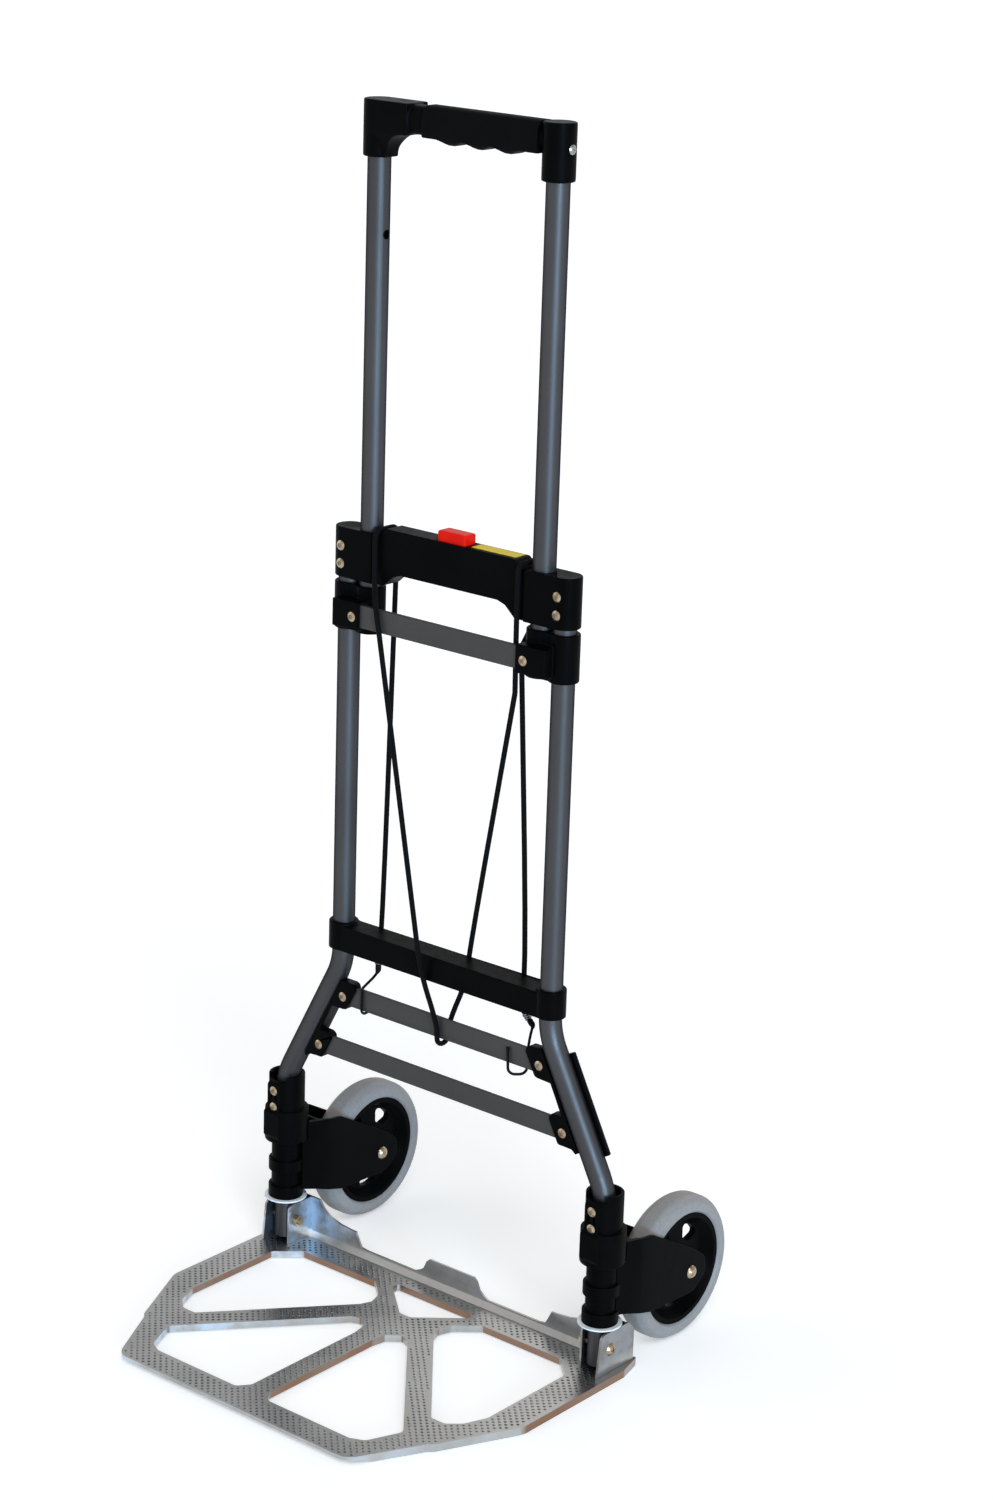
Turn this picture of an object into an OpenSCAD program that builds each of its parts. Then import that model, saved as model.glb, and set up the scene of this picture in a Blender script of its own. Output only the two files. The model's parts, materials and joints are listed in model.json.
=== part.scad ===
// Folding two-wheel hand truck with a telescopic handle, a stamped toe plate,
// fold-away wheel forks and an elastic luggage cord. Millimetres, +Z up.
// The toe plate points to -Y, the wheels to +Y, and the floor is z = 0.

/* [Tubes] */
// Outside diameter of the four frame tubes
tube_d = 19; // [18:0.5:20]
// Wall of the frame tubes
tube_wall = 1.2; // [0.8:0.1:2]
// Half the spacing of the two sliding handle tubes
slide_x = 90.5; // [84:0.5:91]
// Half the spacing of the main tubes above their bend
main_x = 113.5; // [112.5:0.5:120]
// Half the spacing of the main tubes at the wheels
foot_x = 177; // [172:0.5:179]
// Centre-line radius of the two bends in a main tube
bend_r = 60; // [52:1:68]
// Lean of the main tube between its bends, in degrees
bend_angle = 27.5; // [26:0.5:30]

/* [Heights] */
// Height of the toe plate's top surface
plate_top = 6.8; // [6:0.1:9]
// Height of the fold axis above the toe plate
hinge_rise = 20.7; // [20:0.1:23]
// Clear length of main tube between the lower crossbar and the guide
guide_lift = 258; // [256:0.5:300]
// Gap between the raised guide and the release housing
guide_gap = 4.5; // [3:0.5:8]
// Handle travel between its two locked positions
handle_travel = 255; // [200:1:256]
// Height of the handle above the release housing when it is out
handle_out = 302; // [280:1:360]

/* [Toe plate] */
// How far the toe plate reaches to the side of the foot tubes' centres
plate_side = 19.5; // [17:0.5:21]
// Reach of the toe plate in front of the tubes
plate_reach = 252.6; // [240:0.5:262]
// Distance from the tubes back to the outside of the rear flange
flange_back = 22; // [21.5:0.5:24]
// Thickness of the pressed sheet
sheet_t = 2; // [1.5:0.1:2.5]
// Depth of the thin lip along the front edge
front_lip = 3.2; // [2.8:0.1:4]
// Height of the low stretches of the rear flange
flange_low = 12.8; // [10.5:0.1:13]
// Height of the flange's centre tab
flange_tab = 29; // [20:0.5:32]
// Height of the flange beside the ears
flange_high = 43.5; // [35:0.5:45]
// Gap between a hinge ear and the tube
ear_gap = 1.2; // [0.5:0.1:2]
// Height of an ear above the fold axis
ear_rise = 16; // [13:0.5:17]
// Radius of the hinge bolts
hinge_bolt_r = 3; // [2.5:0.1:3.5]

/* [Wheels] */
// Outside diameter of the tyres
wheel_d = 126; // [120:1:127]
// Width of a tyre
wheel_w = 27; // [24:0.5:28]
// Thickness of a tyre from the hub's rim to its tread
tyre_wall = 14; // [12:0.5:18]
// Distance from a tube back to its wheel's axle
axle_back = 101; // [100:0.5:106]
// Distance a wheel's centre lies inboard of its tube
wheel_inset = 3.2; // [2:0.1:3.5]
// Radius of the axle pins
axle_r = 4; // [3:0.1:5]
// Outside radius of the wheel bushes
bush_r = 6.5; // [6:0.1:8]
// Radial running clearance of wheels and forks
run_gap = 0.05; // [0.02:0.01:0.1]
// Number of windows in a hub
hub_windows = 5; // [4:1:6]

/* [Forks and collars] */
// Thickness of a fork arm
arm_t = 4; // [3:0.1:5]
// Gap between a fork arm and the tyre
arm_gap = 3.6; // [2.5:0.1:5]
// Length of the bottom ring of a fork barrel
barrel_foot_h = 11.5; // [8:0.5:14]
// Length of the lower neck of a fork barrel
barrel_neck_low = 13.7; // [10:0.1:16]
// Length of the middle ring of a fork barrel
barrel_ring_h = 10.8; // [8:0.1:13]
// Length of the upper neck of a fork barrel
barrel_neck_high = 18.7; // [14:0.1:22]
// Outside radius of the barrel rings
barrel_ring_r = 15.3; // [14.5:0.1:16]
// Outside radius of the barrel necks
barrel_neck_r = 12.8; // [12:0.1:13.5]
// Length of the wide lower part of a collar
collar_low_h = 30; // [26:0.5:34]
// Length of the slim upper part of a collar
collar_top_h = 32; // [28:0.5:36]
// Outside radius of the wide part of a collar
collar_low_r = 19; // [18.5:0.1:19.2]
// Outside radius of the slim part of a collar
collar_top_r = 15.8; // [15.4:0.1:16.4]
// Thickness of the nylon thrust washers
washer_t = 1.2; // [1:0.1:3]
// Radius of the nylon thrust washers
washer_r = 18.6; // [16:0.1:19]

/* [Housing and crossbars] */
// Height of the release housing's end blocks
housing_h = 42; // [38:0.5:50]
// Half depth of the end blocks
block_r = 12.5; // [12:0.1:13]
// Half depth of the housing's beam
beam_r = 10; // [9.5:0.1:11]
// Height of the housing's underside arch
arch_h = 11.5; // [8:0.5:13]
// Height of the raised top of the beam over the blocks
beam_rise = 6; // [4:0.5:8]
// Height of the lower crossbar's tube rings
ring_h = 24; // [20:0.5:28]
// Radius of the lower crossbar's tube rings
ring_r = 12.6; // [12:0.1:14]
// Height of the lower crossbar between its rings
crossbar_h = 22; // [16:0.5:23]
// Height of the guide sleeves
guide_h = 39.5; // [36:0.5:46]
// Radius of the guide sleeves
guide_r = 12.6; // [12.2:0.1:12.8]
// Height of the guide's flat bar
guide_bar_h = 19; // [16:0.5:22]
// Thickness of the guide's flat bar
guide_bar_t = 4; // [3:0.5:6]
// Height of the two lower flat bars
flat_bar_h = 18; // [14:0.5:20]
// Thickness of the flat bars
flat_bar_t = 3.5; // [3:0.5:6]
// Radius of the shank of the frame rivets
rivet_r = 2.2; // [1.8:0.1:2.6]
// Radius of the heads of the frame rivets
rivet_head_r = 4.1; // [3.8:0.1:4.4]
// Depth of the clips that hold the guide's bar, in front of the tubes' centres
clip_front = 23.5; // [20:0.5:24]

/* [Handle] */
// Height of a handle socket
socket_h = 42; // [38:0.5:50]
// Radius of a handle socket
socket_r = 13.2; // [12.5:0.1:14]
// Height of the grip bar
grip_h = 25; // [22:0.5:27]
// Half depth of the grip bar
grip_r = 12; // [10:0.5:13]
// Depth of the finger grooves under the grip
groove_deep = 4; // [2:0.1:5]

/* [Release] */
// Travel of the release button, and of the latches
button_travel = 5; // [3:0.1:5.5]
// Width of the release button
button_w = 29; // [24:0.1:30]
// Depth of the release button, front to back
button_d = 14.6; // [11:0.1:16]
// Height of the release button above the housing
button_rise = 8.4; // [6.5:0.1:10]
// Radius of the latch pins
latch_r = 3.6; // [2.5:0.1:3.8]
// Length of the yellow plate on the housing
plate_label_l = 45.5; // [30:0.5:46]

/* [Fits] */
// Radial gap between a sliding tube and its bore
slide_gap = 0.25; // [0.15:0.05:0.4]
// Gap left between parts that move past each other
part_gap = 0.3; // [0.2:0.05:0.5]

/* [Luggage cord] */
// Diameter of the elastic cord
cord_d = 4.4; // [4:0.1:4.6]
// Diameter of the hook wire
wire_d = 2.4; // [2:0.1:2.6]

/* [Hidden] */

fine = 64;      // segments of large round parts
medium = 40;    // segments of rivets, pins and rounded corners
poke = 1;       // how far a cut runs past a face

// Tubes
tube_r = tube_d / 2;
bore_r = tube_r - tube_wall;
hinge_z = plate_top + hinge_rise;
tube_foot_z = hinge_z - 16;
bend_run = (foot_x - main_x - 2 * bend_r * (1 - cos(bend_angle))) / sin(bend_angle);

// The stack on each foot tube, from the floor up
washer_z = hinge_z + ear_rise + 4.6;
barrel_z = washer_z + washer_t;
barrel_z1 = barrel_z + barrel_foot_h;
barrel_z2 = barrel_z1 + barrel_neck_low;
barrel_z3 = barrel_z2 + barrel_ring_h;
collar_z = barrel_z3 + barrel_neck_high;
collar_z1 = collar_z + collar_low_h;
collar_top = collar_z1 + collar_top_h;
bend_low_z = collar_z1 + 15;
bend_top_z = bend_low_z + 2 * bend_r * sin(bend_angle) + bend_run * cos(bend_angle);

// The frame above the bends
ring_z = bend_top_z + 0.5;
guide_z = ring_z + ring_h + guide_lift;
housing_z = guide_z + guide_h + guide_gap;
housing_top = housing_z + housing_h;
main_top = housing_top - 4;
handle_z = housing_top + handle_out;
handle_top = handle_z + socket_h + 3;

// Placing the part: the tubes' plane is moved so that the footprint is centred on y = 0
wheel_r = wheel_d / 2;
plate_half_w = foot_x + plate_side;
tube_y = (plate_reach - axle_back - wheel_r) / 2;

// Shape functions
function unit(v) = v / norm(v);
function wrapped(a) = a > 180 ? a - 360 : a < -180 ? a + 360 : a;
function corner(a, b, c, r, n) =
    let (u = unit(a - b), v = unit(c - b), half = acos(u * v) / 2)
    let (o = b + unit(u + v) * r / sin(half), t = r / tan(half))
    let (p = b + u * t - o, q = b + v * t - o, a0 = atan2(p.y, p.x))
    let (turn = wrapped(atan2(q.y, q.x) - a0))
    r == 0 ? [b] : [for (i = [0:n]) o + r * [cos(a0 + turn * i / n), sin(a0 + turn * i / n)]];
function rounded(pts, radii, n = 5) =
    let (m = len(pts))
    [for (i = [0:m - 1]) each corner(pts[(i + m - 1) % m], pts[i], pts[(i + 1) % m],
        is_list(radii) ? radii[i] : radii, n)];
// A closed outline moved inwards by d; the points run anticlockwise
function inset(pts, d) =
    let (m = len(pts))
    [for (i = [0:m - 1])
        let (a = pts[(i + m - 1) % m], b = pts[i], c = pts[(i + 1) % m])
        let (u = unit(a - b), v = unit(c - b), side = cross(b - a, c - b) > 0 ? 1 : -1)
        b + unit(u + v) * side * d / sin(acos(u * v) / 2)];
function flipped(pts) = [for (i = [len(pts) - 1:-1:0]) [-pts[i].x, pts[i].y]];

// Placing modules
module on_truck() translate([0, tube_y, 0]) children();
module sided(s) mirror([s < 0 ? 1 : 0, 0, 0]) children();
module pair() { for (s = [-1, 1]) sided(s) children(); }
module along_x(x, y, z) translate([x, y, z]) rotate([0, 90, 0]) children();
module along_y(x, y, z) translate([x, y, z]) rotate([-90, 0, 0]) children();
// An XZ outline with its thickness from y0 to y1
module slab_xz(y0, y1) translate([0, y1, 0]) rotate([90, 0, 0]) linear_extrude(y1 - y0) children();
// A YZ outline with its thickness from x0 to x1
module slab_yz(x0, x1) translate([x0, 0, 0]) rotate([90, 0, 90]) linear_extrude(x1 - x0) children();
module box(low, high) translate(low) cube(high - low);

// A domed rivet or screw head on a shank that runs in +Z from the head's seat at z = 0
module domed_pin(r, head_r, head_h, length) {
    cylinder(h = length, r = r, $fn = medium);
    intersection() {
        translate([0, 0, dome_drop(head_r, head_h)]) sphere(r = dome_radius(head_r, head_h), $fn = medium);
        translate([0, 0, -head_h - poke]) cylinder(h = head_h + poke, r = head_r, $fn = medium);
    }
}
function dome_radius(head_r, head_h) = (head_r * head_r + head_h * head_h) / (2 * head_h);
function dome_drop(head_r, head_h) = dome_radius(head_r, head_h) - head_h;

// A tube swept along points, with n sides; the first side direction follows the path without twist
function tangents(p) =
    let (m = len(p) - 1)
    [for (i = [0:m]) unit(unit(p[min(i + 1, m)] - p[max(i, 1) - 1])
        + unit(p[min(i + 1, m)] - p[i == m ? m - 1 : i]))];
function carried(n, t) = unit(n - (n * t) * t);
function normals(t, i, n) = i == len(t) ? [] : let (m = carried(n, t[i])) concat([m], normals(t, i + 1, m));
module swept(p, r, sides) {
    t = tangents(p);
    n = normals(t, 0, abs(t[0].x) < 0.9 ? [1, 0, 0] : [0, 1, 0]);
    last = len(p) - 1;
    points = [for (i = [0:last]) for (k = [0:sides - 1])
        p[i] + r * (cos(360 * k / sides) * n[i] + sin(360 * k / sides) * cross(t[i], n[i]))];
    rings = [for (i = [0:last - 1]) for (k = [0:sides - 1])
        let (a = i * sides + k, b = i * sides + (k + 1) % sides)
        [a, a + sides, b + sides, b]];
    ends = [[for (k = [0:sides - 1]) k], [for (k = [sides - 1:-1:0]) last * sides + k]];
    polyhedron(points, concat(rings, ends), convexity = 8);
}
// A hand-chosen route, as [point, bend radius, steps in the bend]
function bent(a, b, c, r, n) =
    let (u = unit(a - b), v = unit(c - b), half = acos(u * v) / 2, m = unit(u + v))
    let (o = b + m * r / sin(half), e = unit(v - (v * m) * m), turn = 90 - half)
    [for (i = [0:n]) let (w = turn * (2 * i / n - 1)) o + r * (sin(w) * e - cos(w) * m)];
function route_points(route) =
    let (last = len(route) - 1)
    [for (i = [0:last]) each i == 0 || i == last || route[i][1] == 0 ? [route[i][0]] :
        bent(route[i - 1][0], route[i][0], route[i + 1][0], route[i][1], route[i][2])];

// ---------------------------------------------------------------- main tubes
slant_top_z = bend_top_z - bend_r * sin(bend_angle);
slant_low_z = bend_low_z + bend_r * sin(bend_angle);
// Where a slanting tube's centre line is at height z
function slant_x(z) = main_x + bend_r * (1 - cos(bend_angle)) + (slant_top_z - z) * tan(bend_angle);

collar_rivet_z = [collar_z1 + 3.5, collar_z1 + 18.7];
housing_rivet_z = [housing_z + 11.5, housing_z + 26.5];
handle_screw_z = handle_z + 25;

lap = 0.05;                                     // how far the slanting stretch laps over the bends
module tube_section(outer, inner) difference() {
    circle(r = outer, $fn = fine);
    if (inner > 0) circle(r = inner, $fn = fine);
}
module bend() rotate_extrude(angle = bend_angle, $fn = fine) translate([bend_r, 0]) children();
module tube_path(outer, foot, top, inner = 0) {
    translate([foot_x, 0, foot]) linear_extrude(bend_low_z - foot) tube_section(outer, inner);
    translate([foot_x - bend_r, 0, bend_low_z]) rotate([90, 0, 0]) bend() tube_section(outer, inner);
    translate([slant_x(slant_low_z), 0, slant_low_z]) rotate([0, -bend_angle, 0]) translate([0, 0, -lap])
        linear_extrude(bend_run + 2 * lap) tube_section(outer + lap, inner > 0 ? inner - lap : 0);
    translate([main_x + bend_r, 0, bend_top_z]) rotate([90, 0, 0]) rotate([0, 0, 180]) bend()
        tube_section(outer, inner);
    translate([main_x, 0, bend_top_z]) linear_extrude(top - bend_top_z) tube_section(outer, inner);
}
module main_tube() difference() {
    tube_path(tube_r, tube_foot_z, main_top, bore_r);
    along_x(foot_x - tube_d, 0, hinge_z) cylinder(h = 2 * tube_d, r = hinge_bolt_r + run_gap, $fn = medium);
    for (z = collar_rivet_z) along_y(foot_x, -tube_d, z) cylinder(h = 2 * tube_d, r = rivet_r, $fn = medium);
    for (z = housing_rivet_z) along_y(main_x, -tube_d, z) cylinder(h = 2 * tube_d, r = rivet_r, $fn = medium);
}
module left_main_tube() color("slategray") on_truck() sided(-1) main_tube();
module right_main_tube() color("slategray") on_truck() sided(1) main_tube();

// ---------------------------------------------------------------- slide tubes
latch_z = housing_z + 28;
slide_foot = guide_z + 3;
slide_top = handle_z + socket_h - 6;
guide_rivet_z = guide_z + 16.5;

module slide_tube() difference() {
    translate([slide_x, 0, slide_foot]) cylinder(h = slide_top - slide_foot, r = tube_r, $fn = fine);
    translate([slide_x, 0, slide_foot - poke])
        cylinder(h = slide_top - slide_foot + 2 * poke, r = bore_r, $fn = fine);
    for (z = [latch_z, latch_z + handle_travel])
        along_x(slide_x - tube_d, 0, z) cylinder(h = tube_d, r = latch_r + part_gap, $fn = medium);
    along_y(slide_x, -tube_d, guide_rivet_z) cylinder(h = tube_d, r = rivet_r, $fn = medium);
    along_x(slide_x, 0, handle_screw_z) cylinder(h = tube_d, r = screw_r, $fn = medium);
}
module left_slide_tube() color("slategray") on_truck() sided(-1) slide_tube();
module right_slide_tube() color("slategray") on_truck() sided(1) slide_tube();

// ---------------------------------------------------------------- release housing
neck_x = slide_x - tube_r - 1.2;                // inboard end of an end block
arch_x = 69;                                    // where the underside starts to rise
beam_top = housing_top + beam_rise;
beam_half = 67.5;                               // half length of the beam's raised top
cavity_x = 65;                                  // half length of the latch chamber
cavity_y = 7.3;                                 // half depth of the latch chamber
cavity_low = housing_z + arch_h + 4;
cavity_high = latch_z + 10;
cover_t = beam_r - cavity_y;
cover_x = cavity_x + 6.5;
cover_z = [cavity_low - 3, cavity_high + 3];
cover_screw_x = cavity_x + 3.3;
cover_screw_z = [cover_z[0] + 3, cover_z[1] - 3];
screw_r = 2;
spring_r = 2.4;                                 // outside radius of a latch spring
spring_z = latch_z + 6.5;
spring_x = [48, 56.5];                          // its seat on the housing and on the latch

module beam_outline() polygon([
    [-main_x, housing_z], [-arch_x, housing_z], [-arch_x + 10, housing_z + arch_h - 2.5],
    [-arch_x + 18, housing_z + arch_h], [arch_x - 18, housing_z + arch_h],
    [arch_x - 10, housing_z + arch_h - 2.5], [arch_x, housing_z], [main_x, housing_z],
    [main_x, housing_top], [beam_half + 5, housing_top], [beam_half + 5, housing_top + 1.5],
    [beam_half, beam_top], [-beam_half, beam_top], [-beam_half - 5, housing_top + 1.5],
    [-beam_half - 5, housing_top], [-main_x, housing_top]]);
module release_housing() color("#1b1b1d") on_truck() difference() {
    union() {
        slab_xz(-beam_r, beam_r) beam_outline();
        pair() {
            translate([main_x, 0, housing_z]) cylinder(h = housing_h, r = block_r, $fn = fine);
            box([neck_x, -block_r, housing_z], [main_x, block_r, housing_top]);
        }
    }
    pair() {
        translate([slide_x, 0, housing_z - poke])
            cylinder(h = housing_h + 2 * poke, r = tube_r + slide_gap, $fn = fine);
        translate([main_x, 0, housing_z - poke])
            cylinder(h = main_top - housing_z + poke, r = tube_r, $fn = fine);
        for (z = housing_rivet_z)
            along_y(main_x, -block_r - poke, z)
                cylinder(h = 2 * block_r + 2 * poke, r = rivet_r, $fn = medium);
        along_x(cavity_x - poke, 0, latch_z)
            cylinder(h = slide_x - cavity_x, r = latch_r + part_gap, $fn = medium);
    }
    difference() {
        box([-cavity_x, -cavity_y, cavity_low], [cavity_x, cavity_y + poke, cavity_high]);
        pair() box([spring_x[0] - 3, -cavity_y, latch_z + 4], [spring_x[0], cavity_y, cavity_high]);
    }
    box([-cover_x, cavity_y, cover_z[0]], [cover_x, beam_r + poke, cover_z[1]]);
    cover_holes(2, 8);
    box([-button_w / 2 - part_gap, -button_d / 2 - part_gap, cavity_high - poke],
        [button_w / 2 + part_gap, button_d / 2 + part_gap, beam_top + poke]);
}
module cover_holes(back, deep) pair() for (z = cover_screw_z)
    along_y(cover_screw_x, beam_r - cover_t - deep, z)
        cylinder(h = deep + cover_t + back, r = screw_r, $fn = medium);
module housing_back_cover() color("#202022") on_truck() difference() {
    box([-cover_x, cavity_y, cover_z[0]], [cover_x, beam_r, cover_z[1]]);
    cover_holes(poke, 0);
}
module cover_screws() color("silver") on_truck() pair() for (z = cover_screw_z)
    translate([cover_screw_x, beam_r, z]) rotate([90, 0, 0]) domed_pin(screw_r, 3, 1, cover_t + 7.5);
module housing_rivets() color("silver") on_truck() pair() for (z = housing_rivet_z)
    along_y(main_x, -block_r, z) domed_pin(rivet_r, rivet_head_r, 1.5, 2 * block_r);
module housing_label() color("gold") on_truck()
    box([20, -5.4, beam_top], [20 + plate_label_l, 7.2, beam_top + 0.4]);

// The button's wedge, 45 degrees on each side, drives the two latch plates apart from each other
wedge_low = latch_z - 3.5;
wedge_w = 3;                                    // half width of the wedge's tip
wedge_d = 4;                                    // half depth of the wedge
plate_t = 3;                                    // thickness of a latch plate
cap_low = cavity_high + 2;
module release_button() color("red") on_truck() {
    box([-button_w / 2, -button_d / 2, cap_low], [button_w / 2, button_d / 2, beam_top + button_rise]);
    slab_xz(-wedge_d, wedge_d) polygon([
        [-wedge_w, wedge_low], [wedge_w, wedge_low], [wedge_w + 8.5, wedge_low + 8.5],
        [wedge_w + 8.5, cap_low],
        [-wedge_w - 8.5, cap_low], [-wedge_w - 8.5, wedge_low + 8.5]]);
}
block_x = 64.5;                                 // outer end of a latch's end block
pin_x = 60;                                     // inner end of its pin
window_x = 21;                                  // outer end of its window
// A latch: a plate with a window for the wedge, an end block and a pin, for the right-hand side
module latch(low) difference() {
    high = low + plate_t;
    edge = wedge_w - wedge_low + 1.5 * part_gap;
    union() {
        box([-24, -cavity_y + part_gap, low], [58, cavity_y - part_gap, high]);
        box([spring_x[1], -cavity_y + part_gap, latch_z - 3.3],
            [block_x, cavity_y - part_gap, cavity_high - part_gap]);
        along_x(pin_x, 0, latch_z)
            cylinder(h = slide_x - tube_r - part_gap - pin_x, r = latch_r, $fn = medium);
    }
    slab_xz(-wedge_d - part_gap, wedge_d + part_gap) polygon([
        [-edge - low + poke, low - poke], [window_x, low - poke], [window_x, high + poke],
        [-edge - high - poke, high + poke]]);
}
module left_latch() color("dimgray") on_truck() sided(-1) latch(latch_z + part_gap);
module right_latch() color("dimgray") on_truck() sided(1) latch(latch_z - part_gap - plate_t);

// A coil of round wire along +Z
module coil(r, wire, length, turns, steps = 10)
    swept([for (i = [0:turns * steps]) [(r - wire / 2) * cos(360 * i / steps), (r - wire / 2) * sin(360 * i / steps),
        wire / 2 + (length - wire) * i / (turns * steps)]], wire / 2, 6);
module latch_springs() color("silver") on_truck() pair()
    along_x(spring_x[0], 0, spring_z) coil(spring_r, 0.8, spring_x[1] - spring_x[0], 5);

// ---------------------------------------------------------------- lower crossbar, brackets and flat bars
crossbar_back = 12;                             // half depth of the crossbar
bar_front = 4;                                  // how far a flat bar's face is in front of the tubes' centres
upper_bar_drop = 51.3;                          // how far the upper flat bar's bottom is below the rings
lower_bar_drop = 102.8;                         // and the lower one's
bar_z = [ring_z - upper_bar_drop, ring_z - lower_bar_drop];
tab_wall = 2.5;                                 // wall of a tab round its flat bar
tab_reach = 30;                                 // length of a tab from the tube's centre
bracket_t = 3;                                  // wall of a bracket round its tube
bracket_z = ring_z - 73;                      // middle of a bracket
bracket_len = 88;

module lower_crossbar() color("#1b1b1d") on_truck() difference() {
    union() {
        pair() translate([main_x, 0, ring_z]) cylinder(h = ring_h, r = ring_r, $fn = fine);
        box([-main_x, -crossbar_back + 1, ring_z - 0.5], [main_x, crossbar_back, ring_z - 0.5 + crossbar_h]);
    }
    pair() tube_path(tube_r, tube_foot_z, main_top);
}
function bar_half(z) = slant_x(z + flat_bar_h) - tube_r / cos(bend_angle) - 0.6;
function bar_rivet_x(z) = bar_half(z) - 3.6;
function bar_rivet_z(z) = z + flat_bar_h / 2 - 1.6;
module flat_bar(z) difference() {
    box([-bar_half(z), -bar_front, z], [bar_half(z), flat_bar_t - bar_front, z + flat_bar_h]);
    pair() along_y(bar_rivet_x(z), -tube_d, bar_rivet_z(z))
        cylinder(h = 2 * tube_d, r = rivet_r, $fn = medium);
}
module upper_flat_bar() color("gray") on_truck() flat_bar(bar_z[0]);
module lower_flat_bar() color("gray") on_truck() flat_bar(bar_z[1]);
module tab(z) {
    low = z - 3.5;
    high = z + flat_bar_h + 4;
    seat = tube_r / cos(bend_angle);
    slab_xz(-bar_front - tab_wall, flat_bar_t - bar_front + tab_wall) polygon(rounded([
        [slant_x(low) - tab_reach, low], [slant_x(low) - seat, low],
        [slant_x(high) - seat, high], [slant_x(high) - tab_reach, high]], [3, 0, 0, 5]));
}
module side_bracket() difference() {
    union() {
        translate([slant_x(bracket_z), 0, bracket_z]) rotate([0, -bend_angle, 0])
            translate([0, 0, -bracket_len / 2]) linear_extrude(bracket_len)
                difference() {
                    polygon(rounded([
                        [-tube_r - bracket_t, -bar_front - tab_wall], [-tube_r + 1, -bar_front - tab_wall],
                        [tube_r - 1, 4], [tube_r + bracket_t, 4], [tube_r + bracket_t, tube_r + 2.5],
                        [-tube_r - bracket_t, tube_r + 2.5]], [0.8, 0, 0, 0.8, 6, 6]));
                    circle(r = tube_r, $fn = fine);
                    translate([-tube_r, -tube_d]) square([tube_d, tube_d]);
                }
        for (z = bar_z) tab(z);
    }
    for (z = bar_z) {
        box([0, -bar_front, z], [bar_half(z), flat_bar_t - bar_front, z + flat_bar_h]);
        along_y(bar_rivet_x(z), -tube_d, bar_rivet_z(z)) cylinder(h = 2 * tube_d, r = rivet_r, $fn = medium);
    }
    tube_path(tube_r, tube_foot_z, main_top);
    // The inner wall ends just below the lower tab
    translate([slant_x(bracket_z), 0, bracket_z]) rotate([0, -bend_angle, 0])
        box([-tube_d, -tube_d, -bracket_len], [0, tube_d, (bar_z[1] - 1.5 - bracket_z) / cos(bend_angle)]);
}
module left_side_bracket() color("#1b1b1d") on_truck() sided(-1) side_bracket();
module right_side_bracket() color("#1b1b1d") on_truck() sided(1) side_bracket();
module flat_bar_rivets() color("silver") on_truck() pair() for (z = bar_z)
    along_y(bar_rivet_x(z), -bar_front - tab_wall, bar_rivet_z(z))
        domed_pin(rivet_r, rivet_head_r, 1.4, flat_bar_t + 2 * tab_wall);

// ---------------------------------------------------------------- collars, springs and washers
collar_front = 17.4;                            // front of the rib that carries the rivets
collar_nose = hinge_rise - 0.5;                 // front of the block, just inside the folded toe plate
pocket_r = tube_r + 5.5;                        // room for the torsion spring
coil_wire = 2.4;

module collar() difference() {
    union() {
        translate([foot_x, 0, collar_z]) cylinder(h = collar_low_h, r = collar_low_r, $fn = fine);
        translate([foot_x, 0, collar_z1]) cylinder(h = collar_top_h, r = collar_top_r, $fn = fine);
        slab_yz(foot_x - 9, foot_x + 9) polygon([
            [0, collar_z], [-15, collar_z], [-collar_nose, collar_z + 7], [-collar_nose, collar_z1 - 1.5],
            [-collar_front, collar_z1 + 1], [0, collar_z1 + 1]]);
        slab_yz(foot_x - 7, foot_x + 7) polygon([
            [0, collar_z1], [-collar_front, collar_z1], [-collar_front, collar_top - 8],
            [-14, collar_top - 4.5],
            [0, collar_top - 4.5]]);
    }
    translate([foot_x, 0, collar_z - poke])
        cylinder(h = collar_top - collar_z + 2 * poke, r = tube_r, $fn = fine);
    translate([foot_x, 0, collar_z - poke]) cylinder(h = collar_low_h - 2, r = pocket_r, $fn = fine);
    translate([foot_x, 0, bend_low_z + 1])
        cylinder(h = collar_top - bend_low_z, r = tube_r + 3.4, $fn = fine);
    box([foot_x - 10, -30, collar_top - 4.5], [foot_x + 10, 0, collar_top + poke]);
    for (z = collar_rivet_z)
        along_y(foot_x, -collar_front - 10, z)
            cylinder(h = collar_front + 10 + 14, r = rivet_r, $fn = medium);
    along_y(foot_x, -collar_front - 10, collar_rivet_z[0])
        cylinder(h = 10, r = rivet_head_r + part_gap, $fn = medium);
}
module left_collar() color("#1b1b1d") on_truck() sided(-1) collar();
module right_collar() color("#1b1b1d") on_truck() sided(1) collar();
module collar_rivets() color("silver") on_truck() pair()
    for (z = collar_rivet_z) along_y(foot_x, -collar_front, z)
        domed_pin(rivet_r, rivet_head_r, 1.4, collar_front + 14);
module swing_springs() color("gray") on_truck() pair()
    translate([foot_x, 0, collar_z + 0.5]) coil(pocket_r - 1, coil_wire, collar_low_h - 4, 6, 12);
module thrust_washers() color("white") on_truck() pair() translate([foot_x, 0, washer_z]) difference() {
    cylinder(h = washer_t, r = washer_r, $fn = fine);
    translate([0, 0, -poke]) cylinder(h = washer_t + 2 * poke, r = tube_r, $fn = fine);
}

// ---------------------------------------------------------------- handle
grip_z = handle_top - grip_h;                   // underside of the grip bar
grip_left = -38;                                // the grip's open end
step_x = 52;                                    // inboard end of the left end's block
grip_wall = 2.4;
arch_half = 8.5;                                // half thickness of the web under the left end
arch_rise = grip_z - handle_z;
groove_pitch = 28.5;                            // spacing of the finger grooves
ridge_x = 17.6;                                 // the middle ridge between two grooves
handle_screw_x = slide_x + socket_r - 0.4;
handle_screw_head = 4;

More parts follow.
